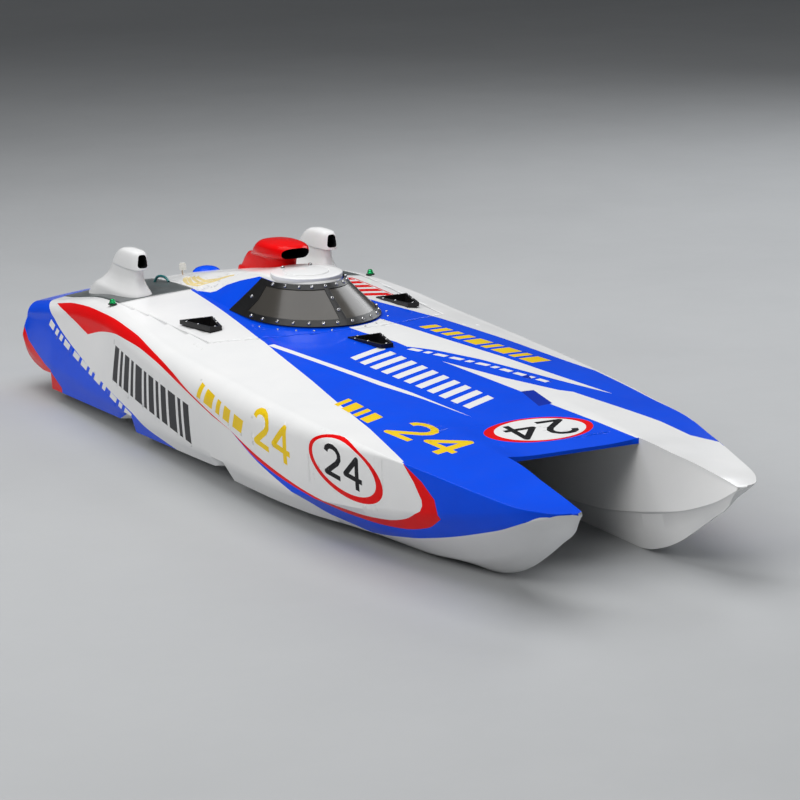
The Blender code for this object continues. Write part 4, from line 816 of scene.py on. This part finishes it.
def make_hull():
    skin = Skin()
    hole = patch(None, grown(HATCH, SEAM))
    well = patch(None, [(.7645, -.0090), (.7645, .0090), (.8400, .0245), (.8400, -.0245)])
    deck_paint = DECK_PAINT + [hole, well]
    stations = fine_stations(SIDE_PAINT + deck_paint, 0.0, 1.64, CELL, STEP_STATIONS + [.003, .006])
    rings = {}
    for s in stations:
        if s == 0.0:
            base = section(0.003)
            flat = [p for zone in base.values() for p in zone]
            cx = sum(p[0] for p in flat) / len(flat)
            cz = sum(p[1] for p in flat) / len(flat)
            rings[s] = {k: [(cx + (x - cx) * .4, cz + (z - cz) * .4) for x, z in zone]
                        for k, zone in base.items()}
        else:
            rings[s] = section(s)
    for sa, sb in zip(stations, stations[1:]):
        deck_now = [r for r in deck_paint if r[2] < sb and r[3] > sa]
        for sign in (1, -1):
            side_now = [r for r in (PORT_PAINT + PORT_TIP if sign > 0 else SIDE_PAINT)
                        if r[2] < sb and r[3] > sa]
            for zone in ZONES:
                one = rings[sa][zone]
                two = rings[sb][zone]
                for i in range(len(one) - 1):
                    quad = []
                    for s, (x, z) in ((sa, one[i]), (sa, one[i + 1]), (sb, two[i + 1]),
                                      (sb, two[i])):
                        w = sign * x if zone == "deck" else z
                        quad.append((s, w, sign * x, s - HALF, z))
                    if zone == "deck":
                        skin.cell(quad, WHITE, deck_now, sa, sb)
                    elif zone == "under":
                        shade = RED if sa > 1.4864 and i < 8 else WHITE
                        skin.cell(quad, shade, [], sa, sb)
                    else:
                        skin.cell(quad, WHITE, side_now, sa, sb)
            if sb <= LIP + 1e-6:
                top_a, top_b = rings[sa]["deck"][0], rings[sb]["deck"][0]
                low_a, low_b = rings[sa]["under"][-1], rings[sb]["under"][-1]
                quad = [(s, 0, sign * x, s - HALF, z) for s, (x, z) in
                        ((sa, top_a), (sa, low_a), (sb, low_b), (sb, top_b))]
                skin.cell(quad, WHITE, [], sa, sb)
            else:
                for i in range(12):
                    quad = []
                    flat = []
                    for s, k in ((sa, i), (sa, i + 1), (sb, i + 1), (sb, i)):
                        wall = rings[s]["deck"][0][0]
                        x = sign * wall * k / 12
                        quad.append((s, x, x, s - HALF, deck_top(x, s)))
                        flat.append((x, s - HALF, rings[s]["under"][-1][1]))
                    skin.cell(quad, WHITE, deck_now, sa, sb)
                    skin.face(flat, WHITE)
    for sign in (1, -1):
        tip = [(sign * x, -HALF, z) for zone in ZONES for x, z in rings[0.0][zone]]
        skin.face(tip, WHITE if sign > 0 else BLUE)
        for s in (LIP, 1.64):
            wall = rings[s]["deck"][0][0]
            for i in range(12):
                a = sign * wall * i / 12
                b = sign * wall * (i + 1) / 12
                roof = rings[s]["under"][-1][1]
                skin.face([(a, s - HALF, deck_top(a, s)), (b, s - HALF, deck_top(b, s)),
                           (b, s - HALF, roof), (a, s - HALF, roof)],
                          BLUE)
        stern = [(sign * x, HALF, z) for zone in ZONES for x, z in rings[1.64][zone]]
        skin.face(stern, BLUE)
    return skin.build("hull_skin", SKIN)


hull = make_hull()
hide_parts("hull_shell")
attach(hull, "hull")


def liner_of(name, node, depth, look):
    """Inner laminate: the node's own walls, pulled in under the painted skin."""
    mesh = frame["nodes"][node].data.copy()
    mesh.name = name
    bm = bmesh.new()
    bm.from_mesh(mesh)
    bmesh.ops.remove_doubles(bm, verts=bm.verts, dist=0.00001)
    bmesh.ops.recalc_face_normals(bm, faces=bm.faces)
    bm.normal_update()
    for v in bm.verts:
        v.co -= v.normal * depth
    bm.to_mesh(mesh)
    bm.free()
    mesh.materials.clear()
    mesh.materials.append(look)
    return added(name, mesh)


liner = liner_of("hull_liner", "hull_shell", 0.0016, LAMINATE)
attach(liner, "hull")

# ---------------------------------------------------------------- lids over the deck
COWL_FRONT = HATCH[:6]


def deck_panel(name, shape, paint_regions, base, start, stop, thickness):
    """Piece of the deck surface inside a union of convex outlines."""
    skin = Skin()
    stations = fine_stations(paint_regions + shape, start, stop, CELL)
    for sa, sb in zip(stations, stations[1:]):
        now = [r for r in paint_regions if r[2] < sb and r[3] > sa]
        here = [r for r in shape if r[2] < sb - 1e-9 and r[3] > sa + 1e-9]
        for sign in (1, -1):
            for i in range(PANEL_RIBS):
                quad = []
                for s, k in ((sa, i), (sa, i + 1), (sb, i + 1), (sb, i)):
                    x = sign * PANEL_HALF * k / PANEL_RIBS
                    quad.append((s, x, x, s - HALF, deck_top(x, s)))
                skin.cell(quad, base, now, sa, sb, here)
    return skin.build(name, thickness)


def canopy_floor():
    """Outline of the cowl's opening under the canopy."""
    out = []
    for k in range(36):
        turn = math.tau * k / 36
        reach = 0.112 if math.cos(turn) > 0 else 0.33
        out.append((1.03 - reach * math.cos(turn), 0.087 * math.sin(turn)))
    return patch(None, out)


g = SEAM
front_shape = patch(WHITE, [(s + (g if s < 1 else 0), max(x - g, 0)) for s, x in
                            COWL_FRONT[:-1]] + [(1.29 - g, LID_EDGE - g), (1.29 - g, g - LID_EDGE)] +
                    [(s + g, -(x - g)) for s, x in COWL_FRONT[-2:0:-1]])
bridge_shape = patch(WHITE, [(1.29 - g, .085 - g), (1.29, .085 - g), (1.29, -.085 + g),
                             (1.29 - g, -.085 + g)])
tail_shape = patch(WHITE, [(1.29, .085 - g), (1.40, .080 - g), (1.56 - g, .055 - g),
                           (1.574 - g, 0), (1.56 - g, -.055 + g), (1.40, -.080 + g),
                           (1.29, -.085 + g)])
duct_holes = []
for sign in (1, -1):
    x0 = sign * DUCT_X
    duct_holes.append(patch(None, [(1.0095, x0 - .0090), (1.0095, x0 + .0090),
                                   (1.0850, x0 + .0245), (1.0850, x0 - .0245)]))
cowl = deck_panel("cowl_skin", [front_shape, bridge_shape, tail_shape],
                  DECK_PAINT + duct_holes + [canopy_floor()], WHITE, .885, COWL_END, LID_SKIN)
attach(cowl, "cowl")

for end, sign in (("port", 1), ("stbd", -1)):
    shape = []
    for outline in ([(1.29 + g, .085 + g), (1.29 + g, LID_EDGE - g), (1.40, LID_EDGE - g), (1.40, .080 + g)],
                    [(1.40, .080 + g), (1.40, LID_EDGE - g), (1.50, LID_EDGE - g), (1.56, .20397 - g),
                     (1.56, .055 + g)],
                    [(1.56, .055 + g), (1.56, .20397 - g), (1.574, .20175 - g), (1.574, g)],
                    [(1.574, g), (1.574, .20175 - g), (1.585 - g, .200 - g), (1.585 - g, g)]):
        shape.append(patch(PANEL, [(s, sign * x) for s, x in outline]))
    lid = deck_panel("cover_skin_" + end, shape, [], PANEL, COVER_FRONT, COVER_BACK, LID_SKIN)
    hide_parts("engine_cover_" + end)
    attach(lid, "cover_" + end)

# ---------------------------------------------------------------- canopy
CANOPY_FADE = [(1.10, 1.0), (1.2, .72), (1.3, .38), (1.38, .19), (1.5, .05), (1.56, 0.0)]
CANOPY_MARKS = [(.1240, 1.03, .1500, .530, .1875), (.1130, 1.03, .1395, .528, .1915),
                (.1050, 1.03, .1325, .525, .1945), (.1005, 1.03, .1280, .522, .1968),
                (.0570, 1.05, .0690, .46, .2480), (.0535, 1.05, .0645, .42, .2525),
                (.0300, 1.06, .0400, .30, .2560), (.0080, 1.08, .0200, .10, .2582)]


def eased_mark(marks, first, last, t):
    """The five values of the marks first to last, eased, at t counted in marks."""
    return [curve([(i, marks[i][j]) for i in range(first, last + 1)], t) for j in range(5)]


def canopy_levels():
    """Levels through the marks: eased below the sill, straight up the window, eased on top."""
    out = [eased_mark(CANOPY_MARKS, 0, 3, k / 8 * 3) for k in range(9)]
    sill, head = CANOPY_MARKS[3], CANOPY_MARKS[4]
    for k in range(1, 15):
        t = k / 14
        out.append([a + (b - a) * t for a, b in zip(sill, head)])
    return out + [eased_mark(CANOPY_MARKS, 4, 7, 4 + k / 14 * 3) for k in range(1, 15)]


def canopy_point(level, turn):
    width, middle, front, back, height = level
    x = width * math.sin(turn)
    reach = front if math.cos(turn) > 0 else back
    s = middle - reach * math.cos(turn)
    base = curve(CENTRE_Z, s) if s > 1.15 else CANOPY_BASE
    fade = curve(CANOPY_FADE, s) if height > CANOPY_BASE else 1.0
    return x, s, base + (height - CANOPY_BASE) * fade


CANOPY_BLUE = [(0.85, .2484), (1.09, .2484), (1.1087, .2434), (1.1487, .2334), (1.1863, .2212),
               (1.2049, .2094), (1.2203, .2051), (1.2607, .2010), (1.2900, .1960)]
canopy_paint = []
for (a, za), (b, zb) in zip(CANOPY_BLUE, CANOPY_BLUE[1:]):
    canopy_paint.append(patch(BLUE, [(a, 0.1), (b, 0.1), (b, zb), (a, za)]))
FLAME = [[(1.395, .1985), (1.330, .2000), (1.285, .2045), (1.262, .2125), (1.240, .2205)],
         [(1.380, .2010), (1.315, .2030), (1.272, .2095), (1.245, .2170), (1.226, .2240)],
         [(1.370, .2035), (1.300, .2070), (1.258, .2150), (1.232, .2225), (1.208, .2300)],
         [(1.350, .2065), (1.290, .2110), (1.246, .2200), (1.218, .2280), (1.190, .2345)]]
for path in FLAME:
    canopy_paint += strokes(PALE_GOLD, [path], .0021, lambda u, v: (u, v))


def make_canopy():
    skin = Skin()
    levels = canopy_levels()
    count = 120
    for a, b in zip(levels, levels[1:]):
        for k in range(count):
            quad = []
            for level, j in ((a, k), (a, k + 1), (b, k + 1), (b, k)):
                x, s, z = canopy_point(level, math.tau * j / count)
                quad.append((s, z, x, s - HALF, z))
            ss = [q[0] for q in quad]
            skin.cell(quad, WHITE, canopy_paint, min(ss) - 1e-6, max(ss) + 1e-6)
    skin.face([(x, s - HALF, z) for x, s, z in
               (canopy_point(levels[-1], math.tau * k / count) for k in range(count))], WHITE)
    return skin.build("canopy_skin", 0.0018, 40)


canopy = make_canopy()
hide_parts("hatch_cowl")
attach(canopy, "cowl")


# ---------------------------------------------------------------- windshield
BAND_SILL = (.1017, 1.03, .1292, .522, .1968)
BAND_HEAD = (.0582, 1.05, .0702, .46, .2480)
BAND_END = 98.5              # degrees from the nose, at the sill
BAND_END_TOP = 93.0          # and at the head
PANE_END = 92.5
MULLION = 3.6                # half width of the post at the nose
FRAME_SILL = 0.16            # share of the band's height under the panes
FRAME_HEAD = 0.86


def screen_point(turn, v, out):
    """Point on the window band: turn in degrees from the nose, v from sill to head."""
    w, m, f, b, h = [a + (c - a) * v for a, c in zip(BAND_SILL, BAND_HEAD)]
    end = BAND_END + (BAND_END_TOP - BAND_END) * v
    angle = math.radians(turn * end / BAND_END)
    reach = f if math.cos(angle) > 0 else b
    x = w * math.sin(angle)
    s = m - reach * math.cos(angle)
    slope = Vector((math.sin(angle) / w, -math.cos(angle) / reach, 0)).normalized()
    normal = (slope * 0.76 + Vector((0, 0, 0.65))).normalized()
    return world(x, s, h) + normal * out


def steps(marks, pitch):
    out = [marks[0]]
    for a, b in zip(marks, marks[1:]):
        count = max(1, round((b - a) / pitch))
        out += [a + (b - a) * k / count for k in range(1, count + 1)]
    return out


def screen_panel(name, turns, levels, keep, low, high, look, bevel):
    """Thin curved panel over the kept cells of a turn by level grid."""
    bm = bmesh.new()
    skins = []
    for out in (low, high):
        skins.append([[bm.verts.new(screen_point(t, v, out)) for v in levels] for t in turns])
    cells = {(i, j) for i in range(len(turns) - 1) for j in range(len(levels) - 1)
             if keep((turns[i] + turns[i + 1]) / 2, (levels[j] + levels[j + 1]) / 2)}
    for i, j in sorted(cells):
        for layer in skins:
            bm.faces.new((layer[i][j], layer[i + 1][j], layer[i + 1][j + 1], layer[i][j + 1]))
        for di, dj, one, two in ((-1, 0, (0, 0), (0, 1)), (1, 0, (1, 0), (1, 1)),
                                 (0, -1, (0, 0), (1, 0)), (0, 1, (0, 1), (1, 1))):
            if (i + di, j + dj) not in cells:
                a = (i + one[0], j + one[1])
                b = (i + two[0], j + two[1])
                bm.faces.new((skins[0][a[0]][a[1]], skins[0][b[0]][b[1]],
                              skins[1][b[0]][b[1]], skins[1][a[0]][a[1]]))
    bmesh.ops.delete(bm, geom=[v for v in bm.verts if not v.link_faces], context="VERTS")
    return mesh_object(name, bm, look, bevel)


def mesh_object(name, bm, look, bevel=0.0, sharp=35):
    bmesh.ops.recalc_face_normals(bm, faces=bm.faces)
    mesh = bpy.data.meshes.new(name)
    bm.to_mesh(mesh)
    bm.free()
    mesh.materials.append(look)
    mesh.shade_smooth()
    mesh.set_sharp_from_angle(angle=math.radians(sharp))
    obj = added(name, mesh)
    if bevel:
        edge = obj.modifiers.new("edge", "BEVEL")
        edge.width = bevel
        edge.segments = 2
        edge.limit_method = "ANGLE"
        edge.angle_limit = math.radians(40)
        edge.harden_normals = True
    return obj


def is_frame(turn, v):
    """Whether a cell of the window band belongs to the surround."""
    return not (FRAME_SILL <= v <= FRAME_HEAD and MULLION <= abs(turn) <= PANE_END)


turns = steps([-BAND_END, -PANE_END, -MULLION, MULLION, PANE_END, BAND_END], 2.4)
levels = steps([0.0, FRAME_SILL, FRAME_HEAD, 1.0], 0.08)
screen = screen_panel("windshield_surround", turns, levels, is_frame, 0.0003, 0.0026,
                      FRAME_BLACK, 0.0005)
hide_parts("windshield_frame")
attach(screen, "cowl")
for end, sign in (("port", 1), ("stbd", -1)):
    edge = sorted((sign * MULLION, sign * PANE_END))
    pane = screen_panel("pane_" + end, steps(edge, 2.2), steps([FRAME_SILL, FRAME_HEAD], 0.08),
                        lambda t, v: True, 0.0003, 0.0015, SMOKE, 0.0)
    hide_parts("window_" + end)
    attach(pane, "cowl")

BUTTON = [(0.0, 1.0), (.45, 1.0), (.50, .62), (.62, .98), (.80, .86), (.93, .62), (1.0, .30),
          (1.0, 0.0)]


def loft(bm, rings):
    """Faces between closed rings of vertices, with both ends capped."""
    count = len(rings[0])
    for a, b in zip(rings, rings[1:]):
        for k in range(count):
            j = (k + 1) % count
            bm.faces.new((a[k], a[j], b[j], b[k]))
    bm.faces.new(rings[0])
    bm.faces.new(rings[-1])


def add_head(bm, at, axis, r, height, count=14):
    """Button screw head, with its socket, standing on a point."""
    axis = axis.normalized()
    side = axis.orthogonal().normalized()
    other = axis.cross(side)
    rings = []
    for u, h in BUTTON[1:]:
        ring = []
        for k in range(count):
            turn = math.tau * k / count
            arm = side * math.cos(turn) + other * math.sin(turn)
            ring.append(bm.verts.new(at + arm * (r * u) + axis * (height * h)))
        rings.append(ring)
    socket = [bm.verts.new(v.co - axis * height * 0.45) for v in rings[0]]
    rings.insert(0, socket)
    loft(bm, rings)


bm = bmesh.new()
SILL_TURNS = [-88, -73, -58, -44, -31, -19, -7, 7, 19, 31, 44, 58, 73, 88]
HEAD_TURNS = [-80, -58, -38, -20, 0, 20, 38, 58, 80]
spots = [(t, 0.075) for t in SILL_TURNS] + [(t, 0.93) for t in HEAD_TURNS]
spots += [(0, 0.36), (0, 0.64), (-95.5, 0.5), (95.5, 0.5)]
for turn, v in spots:
    foot = screen_point(turn, v, 0.0024)
    add_head(bm, foot, screen_point(turn, v, 0.02) - foot, 0.0029, 0.0021)
bolts = mesh_object("windshield_bolts", bm, STEEL)
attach(bolts, "cowl")

bm = bmesh.new()
FLANGE_TURNS = [-70, -54, -40, -27, -14, 14, 27, 40, 54, 70]
for turn in FLANGE_TURNS:
    a = math.radians(turn)
    x, s, z = canopy_point((.1135, 1.03, .1400, .528, .19130), a)
    add_head(bm, world(x, s, max(z, deck_top(x, s)) - .0002), Vector((0, 0, 1)), 0.0019, 0.0014)
small = mesh_object("flange_screws", bm, STEEL)
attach(small, "cowl")


# ---------------------------------------------------------------- turned and stacked pieces
def turned_piece(name, profile, at, axis, look, count=64):
    """Closed turned body from (radius, height) points, bottom to top."""
    bm = bmesh.new()
    axis = axis.normalized()
    side = axis.orthogonal().normalized()
    other = axis.cross(side)
    rings = []
    for r, h in profile:
        rings.append([bm.verts.new(at + (side * math.cos(math.tau * k / count) +
                                         other * math.sin(math.tau * k / count)) * r + axis * h)
                      for k in range(count)])
    loft(bm, rings)
    return mesh_object(name, bm, look)


TILT = Vector((0, -0.035, 1.0)).normalized()
disc = turned_piece("roof_disc_skin",
                    [(.0550, -.0085), (.0556, -.0005), (.0553, .0005), (.0540, .0012),
                     (.0460, .0016), (.0365, .0018), (.0357, .0010), (.0350, .0010),
                     (.0342, .0024), (.0250, .0031), (.0120, .0034), (.0020, .0035)],
                    world(0, 1.040, .2572), TILT, WHITE, 96)
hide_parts("roof_disc")
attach(disc, "cowl")
bm = bmesh.new()
for sign in (1, -1):
    add_head(bm, world(sign * .0233, 1.076, .2601), TILT, 0.0032, 0.0034)
disc_screws = mesh_object("roof_disc_screws", bm, STEEL)
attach(disc_screws, "cowl")


def squared(value, power):
    """Signed power of a sine or cosine, which squares up a circle."""
    return math.copysign(abs(value) ** power, value)


def ring_points(half, front, back, z, power, tilt, count):
    """Superellipse in plan between stations front and back."""
    out = []
    for k in range(count):
        turn = math.tau * k / count
        x = half * squared(math.sin(turn), 2 / power)
        y = squared(math.cos(turn), 2 / power)
        s = (front + back) / 2 - (back - front) / 2 * y
        out.append((x, s, z + tilt * (s - front)))
    return out


def scoop_body(name, marks, power, x0, look, throat, seat, count=72, rows=44):
    """Moulded scoop: eased stack of plan outlines, with the mouth cut by a lofted throat whose walls are
    painted shade in black.
    """
    bm = bmesh.new()
    rings = []
    last = len(marks) - 1
    for k in range(rows + 1):
        mark = eased_mark(marks, 0, last, last * k / rows)
        ring = ring_points(mark[0], mark[1], mark[2], mark[3], power, mark[4], count)
        rings.append([(x + x0, s, max(z, seat(x + x0, s) - 0.0016)) for x, s, z in ring])
    crown = rings[-1]
    cx, cs = x0, (crown[0][1] + crown[count // 2][1]) / 2
    top = max(p[2] for p in crown)
    for share, rise in ((.72, .0006), (.40, .0010), (.12, .0012)):
        rings.append([(cx + (x - cx) * share, cs + (s - cs) * share, z + (top - z) * (1 - share) +
                       rise) for x, s, z in crown])
    loft(bm, [[bm.verts.new(world(*p)) for p in ring] for ring in rings])
    bmesh.ops.remove_doubles(bm, verts=bm.verts, dist=0.00002)
    obj = mesh_object(name, bm, look)
    cutter_mesh = bmesh.new()
    loft(cutter_mesh, [[cutter_mesh.verts.new(world(*p)) for p in ring] for ring in throat])
    # The cut walls of the throat take this black: painted shade standing in for the dark depth of the open
    # intake.
    cutter = mesh_object(name + "_throat_shade", cutter_mesh, INK_AND_SHADE)
    hole = obj.modifiers.new("mouth", "BOOLEAN")
    hole.operation = "DIFFERENCE"
    hole.solver = "EXACT"
    hole.material_mode = "TRANSFER"
    hole.object = cutter
    graph = bpy.context.evaluated_depsgraph_get()
    result = bpy.data.meshes.new_from_object(obj.evaluated_get(graph))
    obj.modifiers.clear()
    obj.data = result
    bpy.data.objects.remove(cutter)
    result.shade_smooth()
    result.set_sharp_from_angle(angle=math.radians(42))
    return obj


SCOOP_MARKS = [(.0265, 1.296, 1.528, .150, 0), (.0265, 1.296, 1.514, .172, 0),
               (.0258, 1.297, 1.485, .192, 0), (.0205, 1.304, 1.459, .2030, 0),
               (.0165, 1.311, 1.442, .2120, 0), (.0145, 1.317, 1.428, .2220, 0),
               (.0145, 1.318, 1.416, .2335, 0), (.0158, 1.298, 1.413, .2365, 0),
               (.0154, 1.299, 1.400, .2480, 0), (.0140, 1.301, 1.384, .2585, 0),
               (.0112, 1.307, 1.368, .2640, 0), (.0065, 1.318, 1.354, .2658, 0)]


def rounded_mouth(x0, s, half_low, half_top, low, high, count=24, power_x=0.45, power_z=0.45):
    """Upright mouth outline with rounded corners."""
    out = []
    for k in range(count):
        turn = math.tau * k / count
        up = squared(math.cos(turn), power_z)
        side = squared(math.sin(turn), power_x)
        share = (up + 1) / 2
        out.append((x0 + side * (half_low + (half_top - half_low) * share), s,
                    (low + high) / 2 + (high - low) / 2 * up))
    return out


for end, sign in (("port", 1), ("stbd", -1)):
    x0 = sign * SPONSON_X
    throat = [rounded_mouth(x0, 1.290, .0100, .0072, .2392, .2618),
              rounded_mouth(x0, 1.303, .0088, .0062, .2402, .2606),
              rounded_mouth(x0, 1.330, .0080, .0056, .2408, .2590),
              rounded_mouth(x0, 1.378, .0060, .0040, .2414, .2540)]
    scoop = scoop_body("intake_skin_" + end, SCOOP_MARKS, 3.0, x0, WHITE, throat, deck_top)
    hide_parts("intake_scoop_" + end)
    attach(scoop, "cover_" + end)

RAM_MARKS = [(.0250, 1.098, 1.290, .205, 0), (.0245, 1.098, 1.282, .230, 0),
             (.0240, 1.099, 1.265, .252, -.08), (.0245, 1.0975, 1.235, .2680, -.04),
             (.0300, 1.072, 1.212, .2735, -.04), (.0330, 1.067, 1.198, .2805, -.03),
             (.0325, 1.070, 1.186, .2870, -.02), (.0260, 1.080, 1.168, .2922, 0),
             (.0130, 1.098, 1.142, .2940, 0)]
throat = [rounded_mouth(0.0, s, half, half, low, high, 32, 0.7, 0.8) for s, half, low, high in
          ((1.050, .0270, .2690, .2904), (1.074, .0240, .2704, .2890),
           (1.086, .0226, .2714, .2882), (1.112, .0192, .2728, .2864),
           (1.155, .0125, .2750, .2832))]
ram = scoop_body("ram_skin", RAM_MARKS, 2.5, 0.0, RED, throat, lambda x, s: 0.19)
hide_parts("ram_scoop")
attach(ram, "cowl")

DOME = [(.0236, .0), (.0240, .0020), (.0240, .0122), (.0234, .0138), (.0218, .0162),
        (.0190, .0186), (.0150, .0206), (.0105, .0218), (.0060, .0224), (.0015, .0226)]
dome = turned_piece("filler_dome_skin", DOME, world(.028, 1.505, .169), Vector((0, 0, 1)), BLUE)
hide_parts("filler_dome")
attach(dome, "cowl")


def tube_piece(name, points, radius, look, body, slot_name, *nodes):
    """Smooth round tube through points."""
    data = bpy.data.curves.new(name, "CURVE")
    data.dimensions = "3D"
    data.bevel_depth = radius
    data.bevel_resolution = 5
    data.use_fill_caps = True
    spline = data.splines.new("BEZIER")
    spline.bezier_points.add(len(points) - 1)
    for knot, p in zip(spline.bezier_points, points):
        knot.co = p
        knot.handle_left_type = "AUTO"
        knot.handle_right_type = "AUTO"
    data.materials.append(look)
    obj = added(name, data)
    if nodes:
        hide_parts(*nodes)
    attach(obj, body)


vent_low = deck_z(-.100, 1.46) + 0.0004
tube_piece("vent_tube_skin", [world(-.0840, 1.398, vent_low + .0090),
                              world(-.0845, 1.404, vent_low + .0125),
                              world(-.0865, 1.418, vent_low + .0150),
                              world(-.0900, 1.432, vent_low + .0120),
                              world(-.0920, 1.441, vent_low + .0022),
                              world(-.0920, 1.446, vent_low - .0015)], 0.0022, TEAL, "cover_stbd",
           "teal_tube", "fuel_vent_tube")
tube_piece("lead_wire_a", [world(-.0347, 1.455, .180), world(-.0349, 1.455, .188),
                           world(-.0360, 1.456, .194), world(-.0355, 1.457, .200)], 0.0007,
           TAN_WIRE, "cowl", "plug_white")
tube_piece("lead_wire_b", [world(-.0333, 1.455, .180), world(-.0331, 1.455, .188),
                           world(-.0340, 1.456, .194), world(-.0335, 1.457, .200)], 0.0007,
           PLUG, "cowl", "plug_white")


def box_piece(bm, x, s, z):
    corners = [bm.verts.new(world(a, b, c)) for c in z for a, b in
               ((x[0], s[0]), (x[1], s[0]), (x[1], s[1]), (x[0], s[1]))]
    for quad in ((0, 1, 2, 3), (4, 5, 6, 7), (0, 1, 5, 4), (1, 2, 6, 5), (2, 3, 7, 6), (3, 0, 4, 7)):
        bm.faces.new([corners[i] for i in quad])


bm = bmesh.new()
box_piece(bm, (-.0395, -.0295), (1.4535, 1.4605), (.1990, .2082))
box_piece(bm, (-.0385, -.0305), (1.4540, 1.4600), (.2081, .2105))
for k in range(3):
    box_piece(bm, (-.0378 + .0027 * k, -.0364 + .0027 * k), (1.4532, 1.4540), (.2010, .2095))
plug = mesh_object("lead_plug", bm, PLUG, 0.0004)
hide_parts("sensor_lead")
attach(plug, "cowl")

# ---------------------------------------------------------------- duct screws
for name, x0, s0, body in (("duct_port", DUCT_X, DUCT_S, "cowl"),
                           ("duct_stbd", -DUCT_X, DUCT_S, "cowl"),
                           ("duct_centre", 0.0, CENTRE_DUCT_S, "hull")):
    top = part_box(name)[1].z
    bm = bmesh.new()
    for dx, ds in ((0.0, .0030), (-.0150, .0330), (.0150, .0330), (-.0228, .0600), (.0228, .0600),
                   (-.0120, .0748), (.0120, .0748)):
        add_head(bm, world(x0 + dx, s0 + ds, top - .0002), Vector((0, 0, 1)), 0.0017, 0.0012, 12)
    heads = mesh_object(name + "_screws", bm, STEEL)
    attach(heads, body)

# ---------------------------------------------------------------- studio
floor_mat = surface("studio_floor", (0.44, 0.45, 0.46), (0.41, 0.42, 0.43), 0.65, grain=1.5,
                    bump=0.0002, bump_scale=120.0)
bm = bmesh.new()
rows = []
for k in range(41):
    t = k / 40
    if t < 0.5:
        y, z = -14 + 40 * t, 0.0
    else:
        turn = (t - 0.5) * math.pi
        y, z = 6 + 5 * math.sin(turn), 5 * (1 - math.cos(turn))
    rows.append([bm.verts.new((x, y, z - 0.0002)) for x in (-14, -5, 5, 14)])
for a, b in zip(rows, rows[1:]):
    for i in range(3):
        bm.faces.new((a[i], a[i + 1], b[i + 1], b[i]))
floor_mesh = bpy.data.meshes.new("studio_floor")
bm.to_mesh(floor_mesh)
bm.free()
floor_mesh.shade_smooth()
floor_mesh.materials.append(floor_mat)
floor = added("studio_floor", floor_mesh)


def soft_light(name, at, aim, size, power, colour=(1, 1, 1)):
    data = bpy.data.lights.new(name, "AREA")
    data.shape = "RECTANGLE"
    data.size = size[0]
    data.size_y = size[1]
    data.energy = power
    data.color = colour
    lamp = added(name, data)
    lamp.location = at
    lamp.rotation_euler = (Vector(aim) - Vector(at)).to_track_quat("-Z", "Y").to_euler()


OVERHEAD_POWER = 112
KEY_POWER = 72
RIM_POWER = 40
soft_light("overhead", (-0.3, 0.6, 3.2), (0, 0, 0), (3.4, 3.4), OVERHEAD_POWER)
soft_light("key", (-3.2, -1.6, 2.6), (0, 0, 0.1), (1.8, 1.8), KEY_POWER, (1.0, 0.99, 0.97))
soft_light("rim", (2.8, 1.8, 2.2), (0, 0, 0.1), (1.4, 2.2), RIM_POWER, (0.96, 0.98, 1.0))
world_light = bpy.data.worlds.new("studio")
world_light.use_nodes = True
back = world_light.node_tree.nodes["Background"]
back.inputs["Color"].default_value = (0.80, 0.83, 0.86, 1)
back.inputs["Strength"].default_value = 0.14
bpy.context.scene.world = world_light
bpy.context.scene.view_settings.view_transform = "Standard"
